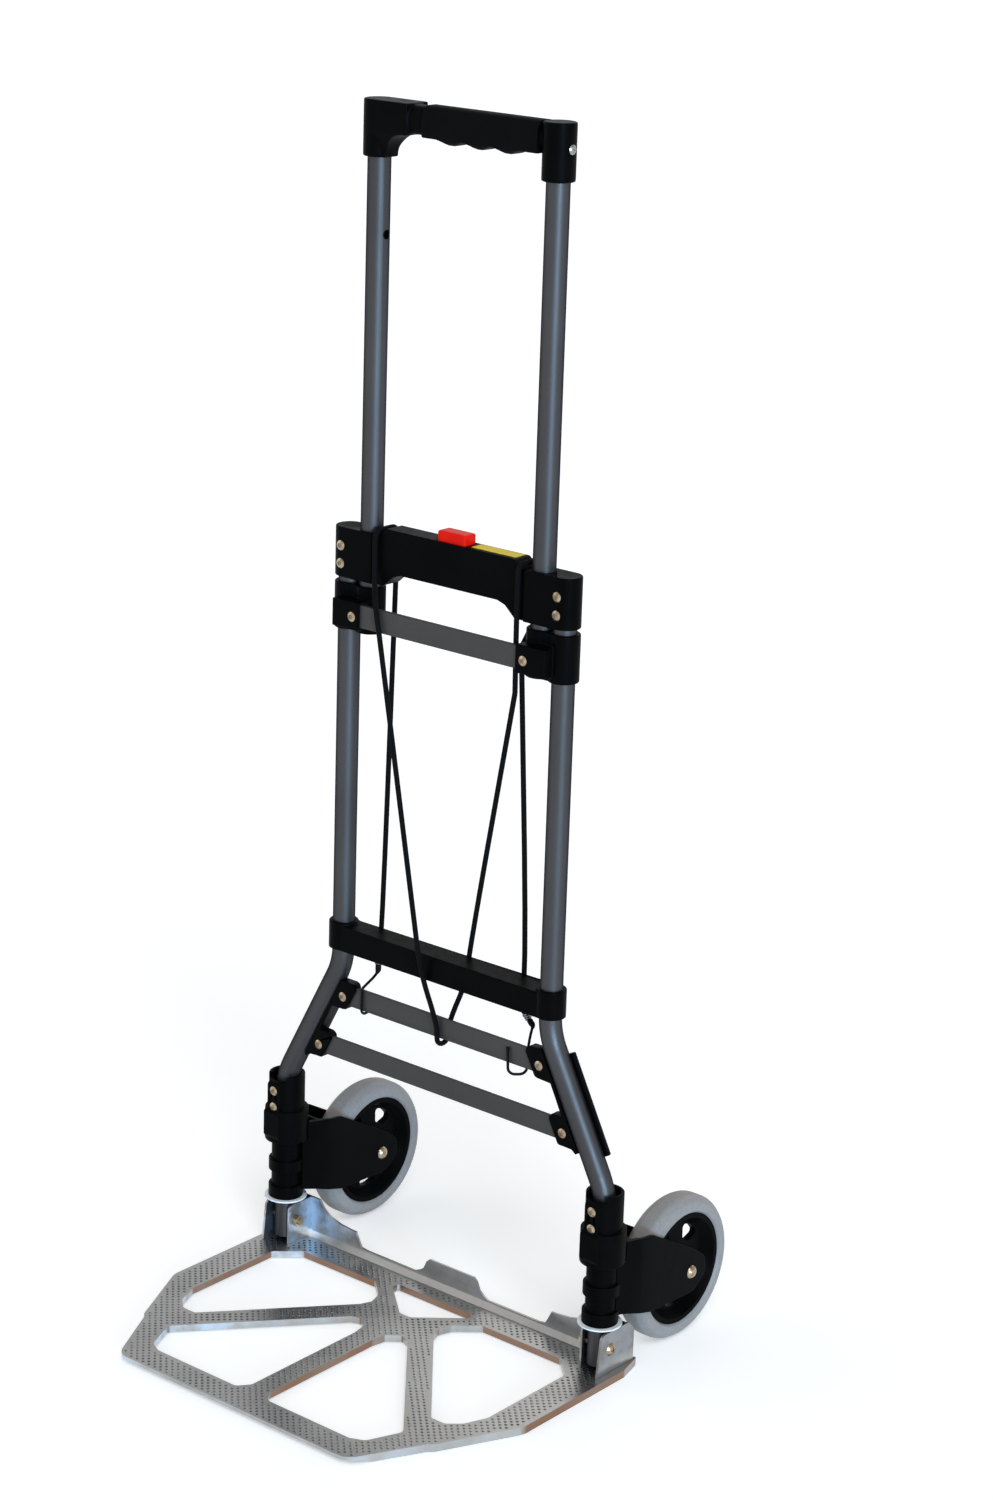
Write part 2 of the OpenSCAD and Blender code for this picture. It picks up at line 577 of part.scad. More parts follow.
module grip_section(d) polygon(rounded([
    [-grip_r + d, grip_z + d], [grip_r - d, grip_z + d], [grip_r - d, handle_top - d],
    [-grip_r + d, handle_top - d]], [6, 6, 8, 8]));
module handle_bar() color("#1b1b1d") on_truck() difference() {
    union() {
        pair() translate([slide_x, 0, handle_z])
            cylinder(h = handle_top - handle_z, r = socket_r, $fn = fine);
        slab_yz(-slide_x, slide_x) grip_section(grip_wall);
        slab_yz(-step_x, grip_left) grip_section(1.2);
        box([-slide_x, -socket_r, grip_z], [-step_x, socket_r, handle_top]);
        intersection() {
            slab_xz(-socket_r, socket_r) polygon(concat(
                [[-slide_x, grip_z + 1], [-slide_x, handle_z]],
                [for (a = [0:10:90]) arch_rise * [-cos(a), sin(a)] + [-step_x - 6, handle_z]],
                [[-step_x, grip_z + 1]]));
            slab_yz(-slide_x, -step_x) polygon([
                [-arch_half, handle_z], [arch_half, handle_z], [arch_half, grip_z - 12], [socket_r, grip_z],
                [socket_r, grip_z + 1], [-socket_r, grip_z + 1], [-socket_r, grip_z],
                [-arch_half, grip_z - 12]]);
        }
    }
    pair() {
        translate([slide_x, 0, handle_z - poke])
            cylinder(h = slide_top - handle_z + poke, r = tube_r, $fn = fine);
        along_x(slide_x, 0, handle_screw_z) cylinder(h = socket_r + poke, r = screw_r, $fn = medium);
        along_x(handle_screw_x, 0, handle_screw_z)
            cylinder(h = 3, r = handle_screw_head + part_gap, $fn = medium);
    }
}
function groove(x) = abs(x - ridge_x) > 1.5 * groove_pitch ? groove_deep :
    groove_deep / 2 * (1 - cos(360 * (x - ridge_x) / groove_pitch));
module handle_grip() color("#141414") on_truck() {
    right_end = slide_x - socket_r;
    difference() {
        intersection() {
            slab_yz(grip_left, right_end) polygon(rounded([
                [-grip_r, grip_z - groove_deep], [grip_r, grip_z - groove_deep], [grip_r, handle_top],
                [-grip_r, handle_top]], [8, 8, 8, 8]));
            slab_xz(-grip_r - poke, grip_r + poke) polygon(concat(
                [[right_end + poke, handle_top + poke], [grip_left - poke, handle_top + poke]],
                [for (x = [grip_left - poke:3:right_end + poke]) [x, grip_z - groove_deep + groove(x)]],
                [[right_end + poke, grip_z]]));
        }
        slab_yz(grip_left - poke, slide_x) grip_section(grip_wall);
        translate([slide_x, 0, handle_z]) cylinder(h = 2 * socket_h, r = socket_r, $fn = fine);
    }
}
module handle_screws() color("silver") on_truck() pair()
    translate([handle_screw_x, 0, handle_screw_z]) rotate([0, -90, 0])
        domed_pin(screw_r, handle_screw_head, 1.8, 8);

// ---------------------------------------------------------------- guide
guide_bar_z = guide_z + 8;
clip_wall = 2.5;
guide_bar_front = clip_front - clip_wall;
clip_x = [slide_x - 7.5, slide_x + 21.5];
bar_end = slide_x + 19;                         // half length of the guide's bar
module guide() difference() {
    union() {
        for (x = [slide_x, main_x]) translate([x, 0, guide_z]) cylinder(h = guide_h, r = guide_r, $fn = fine);
        box([slide_x, -tube_r, guide_z], [main_x, tube_r, guide_z + guide_h]);
        box([clip_x[0], -clip_front, guide_bar_z - 2.5], [clip_x[1], -tube_r + 4, guide_bar_z + guide_bar_h + 2]);
    }
    translate([main_x, 0, guide_z - poke])
        cylinder(h = guide_h + 2 * poke, r = tube_r + slide_gap, $fn = fine);
    translate([slide_x, 0, slide_foot]) cylinder(h = guide_h, r = tube_r, $fn = fine);
    translate([slide_x, 0, guide_z - poke]) cylinder(h = guide_h, r = bore_r, $fn = fine);
    box([0, -guide_bar_front, guide_bar_z],
        [bar_end, guide_bar_t - guide_bar_front, guide_bar_z + guide_bar_h]);
    along_y(slide_x, -clip_front - poke, guide_rivet_z) cylinder(h = clip_front, r = rivet_r, $fn = medium);
}
module left_guide() color("#1b1b1d") on_truck() sided(-1) guide();
module right_guide() color("#1b1b1d") on_truck() sided(1) guide();
module guide_bar() color("gray") on_truck() difference() {
    box([-bar_end, -guide_bar_front, guide_bar_z],
        [bar_end, guide_bar_t - guide_bar_front, guide_bar_z + guide_bar_h]);
    pair() along_y(slide_x, -clip_front, guide_rivet_z) cylinder(h = clip_front, r = rivet_r, $fn = medium);
}
module guide_rivets() color("silver") on_truck() pair()
    along_y(slide_x, -clip_front, guide_rivet_z)
        domed_pin(rivet_r, rivet_head_r, 1.4, clip_front - bore_r + 1);

// ---------------------------------------------------------------- toe plate
lip_deep = plate_top - sheet_t;
opening_lip = 3.8;                              // depth of the lips round the openings, below the sheet
ramp_back = flange_back - 4.5;                  // foot of the rear flange, where it starts to rise
corner_back = 35;                               // how far the plate's rear corners reach
ear_x = [foot_x - tube_r - ear_gap - sheet_t, foot_x + tube_r + ear_gap];
half_outline = [[ear_x[1] - 8, ramp_back], [ear_x[1] - 4, corner_back],
    [ear_x[1] + sheet_t + 0.5, corner_back],
    [plate_half_w, 11], [plate_half_w, -119], [162.5, -188.5], [158.5, -192],
    [126.5, -plate_reach]];
outline_r = [1.5, 1.5, 1.5, 20, 22, 1.2, 1.2, 16];
back_opening = [[165.8, -28.8], [145.5, -9.8], [60.8, -9.5], [41.6, -26.8], [37.5, -40], [41.5, -50.2],
    [132.5, -158], [146.5, -158], [157.8, -147.5], [165.8, -127]];
back_opening_r = [4, 4, 4, 7, 4, 5, 4, 6, 6, 6];
front_opening = [[32, -72.5], [23, -69], [12.5, -78], [10, -92], [10, -216], [18, -226.5],
    [plate_half_w - 90, -226.5], [118.5, -221], [131.5, -190.5]];
front_opening_r = [4, 4, 5, 5, 5, 5, 6, 8, 6];
centre_opening = [[42, 0], [-42, 0], [-43, -7], [-6, -39.5], [6, -39.5], [43, -7]];
centre_opening_r = [3, 3, 3, 5, 5, 3];

module each_opening() {
    for (side = [false, true]) {
        opening(side ? flipped(back_opening) : back_opening, side ? mirrored(back_opening_r) : back_opening_r);
        opening(side ? flipped(front_opening) : front_opening, side ? mirrored(front_opening_r) : front_opening_r);
    }
    opening(centre_opening, centre_opening_r);
}
function mirrored(v) = [for (i = [len(v) - 1:-1:0]) v[i]];
module opening(pts, radii) {
    translate([0, 0, -poke]) linear_extrude(plate_top + 2 * poke) polygon(rounded(pts, radii));
}
module opening_lips() {
    lip(centre_opening, centre_opening_r);
    for (side = [false, true]) {
        lip(side ? flipped(back_opening) : back_opening, side ? mirrored(back_opening_r) : back_opening_r);
        lip(side ? flipped(front_opening) : front_opening, side ? mirrored(front_opening_r) : front_opening_r);
    }
}
module lip(pts, radii) translate([0, 0, lip_deep - opening_lip])
    linear_extrude(opening_lip) polygon(rounded(inset(pts, -sheet_t), radii));
outline = concat([for (p = half_outline) [-p.x, p.y]], mirrored(half_outline));
radii = concat(outline_r, mirrored(outline_r));

flange_half = [[0, lip_deep], [0, flange_tab], [25, flange_tab], [28.5, flange_tab - 3],
    [31.5, flange_tab - 10], [35.5, flange_low + 3], [42, flange_low], [97, flange_low],
    [104, flange_low + 1], [107, flange_low + 6], [109.2, 23], [110.8, 26.5], [116, 26.5], [129, 27.8],
    [141, 31], [149, 36.5], [154, flange_high], [ear_x[1] + sheet_t, flange_high],
    [ear_x[1] + sheet_t, lip_deep]];
module flange() intersection() {
    slab_yz(0, plate_half_w) polygon([
        [ramp_back - sheet_t, lip_deep], [flange_back, lip_deep + 5.5], [flange_back, flange_high + poke],
        [flange_back - sheet_t, flange_high + poke], [flange_back - sheet_t, lip_deep + 6.5],
        [ramp_back - sheet_t, plate_top]]);
    slab_xz(ramp_back - 2 * sheet_t, flange_back) polygon(flange_half);
}
ear_top = hinge_z + ear_rise;
module inner_ear() polygon(rounded([[flange_back - 1, lip_deep], [flange_back - 1, ear_top], [-8.5, ear_top],
    [-9, lip_deep]], [0, 0, 5, 0]));
module outer_ear() polygon(rounded([[31, lip_deep], [31, ear_top - 8], [23, ear_top], [-12.5, ear_top],
    [-17, lip_deep]], [0, 3, 3, 5, 0]));
module toe_plate() color("lightgray") on_truck() difference() {
    union() {
        translate([0, 0, lip_deep]) linear_extrude(sheet_t) polygon(rounded(outline, radii));
        difference() {
            linear_extrude(plate_top) polygon(rounded(outline, radii));
            translate([0, 0, -poke]) linear_extrude(lip_deep + poke)
                polygon(rounded(inset(outline, sheet_t), [for (r = radii) max(r - sheet_t, 0.5)]));
        }
        opening_lips();
        pair() {
            flange();
            slab_yz(ear_x[0], ear_x[0] + sheet_t) inner_ear();
            slab_yz(ear_x[1], ear_x[1] + sheet_t) outer_ear();
        }
    }
    each_opening();
    // The lip gets shallower towards the front
    slab_yz(-plate_half_w - poke, plate_half_w + poke) polygon([
        [20 - plate_reach, 0], [3 - plate_reach, plate_top - front_lip],
        [-plate_reach - poke, plate_top - front_lip],
        [-plate_reach - poke, -poke], [20 - plate_reach, -poke]]);
    // The rear edge is turned up, not down
    box([8 - ear_x[1], ramp_back - sheet_t - poke, -poke], [ear_x[1] - 8, flange_back, lip_deep]);
    pair() along_x(ear_x[0] - poke, 0, hinge_z)
        cylinder(h = ear_x[1] - ear_x[0] + sheet_t + 2 * poke, r = hinge_bolt_r, $fn = medium);
}
module hinge_bolts() color("silver") on_truck() pair() difference() {
    translate([ear_x[1] + sheet_t, 0, hinge_z]) rotate([0, -90, 0])
        domed_pin(hinge_bolt_r, 5.6, 3, ear_x[1] + sheet_t - ear_x[0] + 6);
    for (turn = [0, 90]) translate([ear_x[1] + sheet_t + 1.6, 0, hinge_z]) rotate([turn, 0, 0])
        box([0, -2.6, -0.5], [3, 2.6, 0.5]);
}
module hinge_nuts() color("silver") on_truck() pair() along_x(ear_x[0] - 4.5, 0, hinge_z) difference() {
    cylinder(h = 4.5, r = 5.6, $fn = 6);
    translate([0, 0, -poke]) cylinder(h = 5 + poke, r = hinge_bolt_r, $fn = medium);
}

// ---------------------------------------------------------------- forks and wheels
wheel_x = foot_x - wheel_inset;
arm_in = wheel_w / 2 + arm_gap;                 // inner face of an arm from the wheel's centre
arm_out = arm_in + arm_t;
arm_tip_r = 19.5;                               // radius of an arm's end round the axle
fork_low = barrel_z1 - 2.5;
fork_high = collar_z + 16.5;

module arm_profile() polygon(rounded([
    [-2, fork_low], [16, fork_low - 4], [46, wheel_r - 17], [axle_back + 4, wheel_r - arm_tip_r],
    [axle_back + arm_tip_r, wheel_r - 8], [axle_back + arm_tip_r, wheel_r + 8],
    [axle_back + 4, wheel_r + arm_tip_r],
    [46, fork_high - 4.5], [28, fork_high - 2], [-2, fork_high]], [0, 8, 12, 12, 10, 10, 12, 14, 10, 0]));
module arms_plan() for (s = [-1, 1]) polygon([
    [s * 9 - wheel_inset / 2, 6], [s * 14.5 - wheel_inset / 2, 4], [s * arm_out - wheel_inset, 31],
    [s * arm_out - wheel_inset, axle_back + arm_tip_r + poke],
    [s * arm_in - wheel_inset, axle_back + arm_tip_r + poke], [s * arm_in - wheel_inset, 32.5],
    [s * (arm_in - 5) - wheel_inset, 20]]);
module fork() {
    difference() {
        union() {
            translate([foot_x, 0, barrel_z]) {
                cylinder(h = barrel_foot_h, r = barrel_ring_r, $fn = fine);
                cylinder(h = collar_z - barrel_z - part_gap, r = barrel_neck_r, $fn = fine);
                translate([0, 0, barrel_z2 - barrel_z])
                    cylinder(h = barrel_ring_h, r = barrel_ring_r, $fn = fine);
            }
            intersection() {
                slab_yz(foot_x - 40, foot_x + 40) arm_profile();
                translate([foot_x, 0, 0]) linear_extrude(2 * fork_high) union() {
                    arms_plan();
                    translate([-arm_in - wheel_inset, 20]) square([2 * arm_in, 4]);
                }
            }
        }
        translate([foot_x, 0, barrel_z - poke])
            cylinder(h = fork_high, r = tube_r + run_gap, $fn = fine);
        translate([foot_x, 0, collar_z - part_gap])
            cylinder(h = fork_high, r = collar_low_r + 2 * part_gap, $fn = fine);
        along_x(wheel_x - arm_out - poke, axle_back, wheel_r)
            cylinder(h = 2 * arm_out + 2 * poke, r = axle_r, $fn = medium);
        translate([wheel_x, axle_back, wheel_r]) rotate([0, 90, 0])
            cylinder(h = wheel_w + 2, r = wheel_r + 2, center = true, $fn = fine);
    }
}
module left_fork() color("#1b1b1d") on_truck() sided(-1) fork();
module right_fork() color("#1b1b1d") on_truck() sided(1) fork();

axle_head_r = 5.8;
module axle_pin() along_x(wheel_x, axle_back, wheel_r) {
    for (m = [0, 1]) mirror([0, 0, m]) translate([0, 0, arm_out]) mirror([0, 0, 1])
        domed_pin(axle_r, axle_head_r, 3.6, arm_out);
}
module left_axle_pin() color("silver") on_truck() sided(-1) axle_pin();
module right_axle_pin() color("silver") on_truck() sided(1) axle_pin();

rim_r = wheel_r - tyre_wall;
window_in = rim_r - 25;                         // how near the axle a window in the hub starts
window_out = rim_r - 12.5;                      // and where its sides end
window = [[window_in * cos(11), -window_in * sin(11)], [window_out * cos(20), -window_out * sin(20)],
    [window_out + 1, 0], [window_out * cos(20), window_out * sin(20)],
    [window_in * cos(11), window_in * sin(11)]];
hub_half = wheel_w / 2 - 2;                     // half width of the hub's rim
boss_half = arm_in - part_gap;                  // half length of the hub's boss
boss_r = 13;
web_half = 3.2;                                 // half thickness of the hub's web
module hub() along_x(wheel_x, axle_back, wheel_r) difference() {
    rotate_extrude($fn = fine) polygon([
        [bush_r, -boss_half], [boss_r - 1.5, -boss_half], [boss_r, -web_half - 3], [boss_r + 3, -web_half],
        [rim_r - 11, -web_half], [rim_r - 6.5, -hub_half + 3], [rim_r - 4.5, -hub_half], [rim_r, -hub_half],
        [rim_r, hub_half], [rim_r - 4.5, hub_half], [rim_r - 6.5, hub_half - 3], [rim_r - 11, web_half],
        [boss_r + 3, web_half], [boss_r, web_half + 3], [boss_r - 1.5, boss_half], [bush_r, boss_half]]);
    for (i = [0:hub_windows - 1]) rotate([0, 0, 360 * i / hub_windows - 143])
        linear_extrude(wheel_w, center = true)
        polygon(rounded(window, [3, 3, 20, 3, 3]));
}
module tyre() along_x(wheel_x, axle_back, wheel_r) rotate_extrude($fn = 96) polygon(rounded([
    [rim_r, -hub_half], [rim_r + 1.5, -wheel_w / 2], [wheel_r - 5, -wheel_w / 2], [wheel_r, -wheel_w / 4],
    [wheel_r, wheel_w / 4], [wheel_r - 5, wheel_w / 2], [rim_r + 1.5, wheel_w / 2], [rim_r, hub_half]],
    [0, 1.5, 6, 8, 8, 6, 1.5, 0], 3));
module bush() along_x(wheel_x, axle_back, wheel_r) difference() {
    translate([0, 0, -boss_half]) cylinder(h = 2 * boss_half, r = bush_r, $fn = medium);
    translate([0, 0, -boss_half - poke])
        cylinder(h = 2 * boss_half + 2 * poke, r = axle_r + run_gap, $fn = medium);
}
module left_hub() color("#1b1b1d") on_truck() sided(-1) hub();
module right_hub() color("#1b1b1d") on_truck() sided(1) hub();
module left_tyre() color("darkgray") on_truck() sided(-1) tyre();
module right_tyre() color("darkgray") on_truck() sided(1) tyre();
module left_bush() color("white") on_truck() sided(-1) bush();
module right_bush() color("white") on_truck() sided(1) bush();

// ---------------------------------------------------------------- elastic cord
// Each entry is [point, bend radius, steps in the bend], from the left hook to the right one
cord_x = 75;                                    // where it passes over the housing's beam
cord_side = beam_r + 3.4;                       // centre of the cord in front of the beam, and behind it
cord_over = housing_top + 3.4;                  // centre of the cord above the beam
cord_front = guide_bar_front + 3;               // and in front of the guide's bar
cord_bar_z = [guide_bar_z + guide_bar_h + 4, guide_bar_z - 3];
cord_route = [
    [[-86.5, 14.8, 293], 0, 0],
    [[-86.5, 14.8, 297], 0, 0],
    [[-83, 14.8, 325], 0, 0],
    [[-cord_x, cord_side, housing_z + 12], 0, 0],
    [[-cord_x, cord_side, cord_over], 5, 4],
    [[-cord_x, -cord_side, cord_over], 5, 4],
    [[-cord_x, -cord_side, housing_z + 7], 0, 0],
    [[-64, -cord_front, cord_bar_z[0]], 0, 0],
    [[-58.5, -cord_front, cord_bar_z[1]], 0, 0],
    [[-9.5, -cord_front, 331], 12, 2],
    [[-12.5, -13.8, 303], 0, 0],
    [[-1, -6.8, 262], 0, 0],
    [[-0.5, -6.8, 243.8], 6.2, 6],
    [[0.5, 5.8, 243.8], 6.2, 6],
    [[1.5, 5.8, 262], 0, 0],
    [[12, 14.8, 300], 0, 0],
    [[13, 14.8, 322], 0, 0],
    [[76, -cord_side, 568], 15, 2],
    [[cord_x, -cord_side, housing_z - 2], 0, 0],
    [[cord_x, -cord_side, cord_over], 5, 4],
    [[cord_x, cord_side, cord_over], 5, 4],
    [[cord_x, cord_side, housing_z], 10, 2],
    [[72.5, -3, housing_z - 24], 14, 3],
    [[74.5, 14.8, 330], 0, 0],
    [[69.5, 15, 292.5], 4, 3],
    [[75, 15, 287.5], 0, 0]
];
left_hook_route = [
    [[-86.5, 14.8, 283], 0, 0],
    [[-86.5, 14.8, 279], 0, 0],
    [[-86, -5.8, 270.5], 3, 3],
    [[-86.5, -5.8, 246.5], 3, 3],
    [[-86.5, 5, 246.5], 3, 3],
    [[-86.3, 5, 260], 0, 0]
];
right_hook_route = [
    [[81.4, 15, 281.7], 0, 0],
    [[84.2, 14.5, 279.2], 2, 2],
    [[84.6, 11, 272], 0, 0],
    [[87, 5.2, 261], 0, 0],
    [[87, 5, 240], 6, 4],
    [[76, -6, 240], 6, 4],
    [[75, -6, 264], 0, 0]
];
hook_head_r = 2.6;                              // the thick end of a hook's wire
crimp_r = cord_d / 2 + 0.9;
crimp_len = 6;
// A point past the end a of a line from b
function past(a, b, d) = a + d * unit(a - b);
left_end = [for (p = [0, 1]) cord_route[p][0]];
right_end = [for (p = [1, 2]) cord_route[len(cord_route) - p][0]];
module elastic_cord() color("#101010") on_truck() swept(route_points(cord_route), cord_d / 2, 10);
module cord_ends() color("silver") on_truck() for (e = [left_end, right_end])
    swept([e[0], past(e[0], e[1], crimp_len)], crimp_r, 12);
module cord_hooks() color("#101010") on_truck() {
    for (e = [left_end, right_end])
        swept([past(e[0], e[1], crimp_len), past(e[0], e[1], crimp_len + 6)], hook_head_r, 12);
    for (route = [left_hook_route, right_hook_route]) swept(route_points(route), wire_d / 2, 8);
}

left_main_tube();
right_main_tube();
release_housing();
housing_back_cover();
cover_screws();
housing_rivets();
housing_label();
lower_crossbar();
left_side_bracket();
right_side_bracket();
upper_flat_bar();
lower_flat_bar();
flat_bar_rivets();
left_collar();
right_collar();
collar_rivets();
swing_springs();
thrust_washers();
latch_springs();
left_slide_tube();
right_slide_tube();
handle_bar();
handle_grip();
handle_screws();
left_guide();
right_guide();
guide_bar();
guide_rivets();
release_button();
left_latch();
right_latch();
toe_plate();
hinge_bolts();
hinge_nuts();
left_fork();
right_fork();
left_axle_pin();
right_axle_pin();
left_hub();
right_hub();
left_tyre();
right_tyre();
left_bush();
right_bush();
elastic_cord();
cord_ends();
cord_hooks();
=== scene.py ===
import json
import math

import bmesh
import bpy
from mathutils import Matrix, Vector
from mathutils.bvhtree import BVHTree
from mathutils.kdtree import KDTree


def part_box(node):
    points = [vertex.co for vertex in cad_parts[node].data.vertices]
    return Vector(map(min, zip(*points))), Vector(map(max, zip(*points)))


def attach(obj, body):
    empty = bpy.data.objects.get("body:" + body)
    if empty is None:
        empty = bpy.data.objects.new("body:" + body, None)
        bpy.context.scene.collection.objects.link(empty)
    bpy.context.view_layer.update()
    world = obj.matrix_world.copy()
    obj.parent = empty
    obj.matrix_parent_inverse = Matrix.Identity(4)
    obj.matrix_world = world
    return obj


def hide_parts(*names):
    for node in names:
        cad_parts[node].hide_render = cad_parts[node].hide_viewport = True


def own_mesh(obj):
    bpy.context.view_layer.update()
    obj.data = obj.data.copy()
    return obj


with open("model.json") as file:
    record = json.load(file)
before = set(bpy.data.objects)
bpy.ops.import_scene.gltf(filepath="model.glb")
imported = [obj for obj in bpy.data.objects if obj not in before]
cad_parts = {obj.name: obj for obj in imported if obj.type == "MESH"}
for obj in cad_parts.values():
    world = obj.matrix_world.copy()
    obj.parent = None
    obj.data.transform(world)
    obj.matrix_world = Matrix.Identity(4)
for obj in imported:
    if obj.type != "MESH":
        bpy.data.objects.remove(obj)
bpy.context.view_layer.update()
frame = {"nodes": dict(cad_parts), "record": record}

MM = 0.001
TUBE_R = 9.5 * MM
TUBE_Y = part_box("left_main_tube")[0][1] + TUBE_R
SHEET_TOP = 6.8 * MM        # top of the toe plate's sheet, above the floor
EAR_X = 192.5 * MM          # inner face of the toe plate's outer ears
FRONT_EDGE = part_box("toe_plate")[0][1]
CAD = frame["nodes"]
BODY_OF = {n: body for body, nodes in frame["record"]["behaviour"]["bodies"].items() for n in nodes}
SLOT_OF = {n: o.data.materials[0].name for n, o in CAD.items()}
scene = bpy.context.scene
scene.view_settings.view_transform = "Standard"

# ------------------------------------------------------------------ camera
# Solved from the tubes, the wheels and the plate in the photograph, in the CAD frame
RIGHT = Vector((0.7680015, 0.6396711, 0.0315384))
UP = Vector((-0.2151152, 0.2112618, 0.9534642))
AHEAD = Vector((-0.6032406, 0.7390463, -0.2998523))
EYE = Vector((1.6717376, -1.9336203, 1.3162505))
camera = bpy.data.objects.new("camera", bpy.data.cameras.new("camera"))
scene.collection.objects.link(camera)
camera.matrix_world = Matrix.Translation(EYE) @ Matrix((RIGHT, UP, -AHEAD)).transposed().to_4x4()
camera.data.lens, camera.data.sensor_width = 80.1709, 36
camera.data.shift_x, camera.data.shift_y = -0.0059982, -0.0000673
camera.data.clip_start, camera.data.clip_end = 0.05, 200
scene.camera = camera


# ------------------------------------------------------------------ node helpers
def fresh(name):
    """An empty node material and its tree."""
    mat = bpy.data.materials.new(name)
    mat.use_nodes = True
    mat.node_tree.nodes.clear()
    return mat, mat.node_tree


class Graph:
    """Short calls for building one node tree."""

    def __init__(self, tree):
        self.tree = tree

    def add(self, kind, **values):
        node = self.tree.nodes.new(kind)
        for key, value in values.items():
            if hasattr(node, key) and key not in node.inputs:
                setattr(node, key, value)
            else:
                self.put(node.inputs[key], value)
        return node

    def put(self, socket, value):
        if isinstance(value, bpy.types.NodeSocket):
            self.tree.links.new(value, socket)
        else:
            socket.default_value = value

    def math(self, operation, a, b=0.0):
        node = self.tree.nodes.new("ShaderNodeMath")
        node.operation = operation
        self.put(node.inputs[0], a)
        self.put(node.inputs[1], b)
        return node.outputs[0]

    def coords(self, stretch=(1, 1, 1)):
        place = self.add("ShaderNodeTexCoord")
        mapping = self.add("ShaderNodeMapping")
        mapping.inputs["Scale"].default_value = stretch
        self.put(mapping.inputs["Vector"], place.outputs["Object"])
        return mapping.outputs[0]

    def noise(self, scale, detail=3.0, rough=0.5, stretch=(1, 1, 1)):
        node = self.add("ShaderNodeTexNoise", Scale=scale, Detail=detail, Roughness=rough,
                        Vector=self.coords(stretch))
        return node.outputs["Fac"]

    def cells(self, scale):
        node = self.add("ShaderNodeTexVoronoi", Scale=scale, Vector=self.coords())
        return node.outputs["Distance"]

    def span(self, value, low, high, to_low=0.0, to_high=1.0):
        node = self.add("ShaderNodeMapRange")
        for socket, v in zip(node.inputs, (value, low, high, to_low, to_high)):
            self.put(socket, v)
        node.clamp = True
        return node.outputs[0]

    def blend(self, factor, a, b):
        node = self.add("ShaderNodeMix", data_type="RGBA")
        self.put(node.inputs[0], factor)
        self.put(node.inputs[6], a)
        self.put(node.inputs[7], b)
        return node.outputs[2]

    def bump(self, height, strength, distance, onto=None):
        node = self.add("ShaderNodeBump", Strength=strength, Distance=distance, Height=height)
        if onto is not None:
            self.put(node.inputs["Normal"], onto)
        return node.outputs[0]


def rgb(*c):
    return (*c, 1.0)


def surface(name, build, **fixed):
    """A material with one Principled shader: fixed goes on its sockets, build(graph) returns what is linked."""
    mat, tree = fresh(name)
    graph = Graph(tree)
    shader = graph.add("ShaderNodeBsdfPrincipled")
    out = graph.add("ShaderNodeOutputMaterial")
    tree.links.new(shader.outputs[0], out.inputs[0])
    for key, value in fixed.items():
        shader.inputs[key.replace("_", " ")].default_value = value
    for key, socket in build(graph).items():
        graph.put(shader.inputs[key.replace("_", " ")], socket)
    return mat


# ------------------------------------------------------------------ materials
def enamel(name, dark, light, flake, rough, metallic, edge):
    """Metallic enamel: fine flakes, slow clouding and faint streaks along z; edge dims its grazing reflection."""
    def build(g):
        speck = g.noise(2600, 2, 0.6)
        cloud = g.noise(9, 3, 0.5)
        wear = g.noise(60, 4, 0.6, (6, 6, 0.25))
        tone = g.math("ADD", g.math("MULTIPLY", g.span(speck, 0.3, 0.72), flake),
                      g.math("MULTIPLY", g.span(cloud, 0.3, 0.7), 1 - flake))
        return {
            "Base_Color": g.blend(tone, rgb(*dark), rgb(*light)),
            "Roughness": g.math("ADD", g.span(wear, 0.3, 0.7, -0.04, 0.05),
                                g.span(speck, 0.3, 0.7, rough - 0.03, rough + 0.05)),
            "Normal": g.bump(speck, 0.12, 0.00012, g.bump(wear, 0.06, 0.0004)),
        }
    return surface(name, build, Metallic=metallic, Specular_IOR_Level=0.2, Specular_Tint=rgb(*edge))


def moulded(name, dark, light, rough, grain=2200, level=0.3, depth=0.16):
    """Textured plastic or rubber: fine pits, slow clouding and faint scuffs; level is its specular level."""
    def build(g):
        pits = g.cells(grain)
        cloud = g.noise(22, 4, 0.55)
        scuff = g.noise(140, 4, 0.65, (1, 1, 0.35))
        return {
            "Base_Color": g.blend(g.span(cloud, 0.32, 0.7), rgb(*dark), rgb(*light)),
            "Roughness": g.math("ADD", g.span(scuff, 0.35, 0.7, -0.05, 0.07),
                                g.span(cloud, 0.3, 0.7, rough - 0.03, rough + 0.03)),
            "Normal": g.bump(pits, depth, 0.0001, g.bump(cloud, 0.05, 0.0006)),
        }
    return surface(name, build, Specular_IOR_Level=level)


def plated(name, clean, tarnish, rough):
    """Plated or bare metal with tarnish in spots."""
    def build(g):
        spots = g.noise(260, 4, 0.6)
        fine = g.noise(1500, 3, 0.6)
        return {
            "Base_Color": g.blend(g.span(spots, 0.42, 0.75), rgb(*clean), rgb(*tarnish)),
            "Roughness": g.span(spots, 0.3, 0.75, rough - 0.04, rough + 0.14),
            "Normal": g.bump(fine, 0.15, 0.0001),
        }
    return surface(name, build, Metallic=1.0)


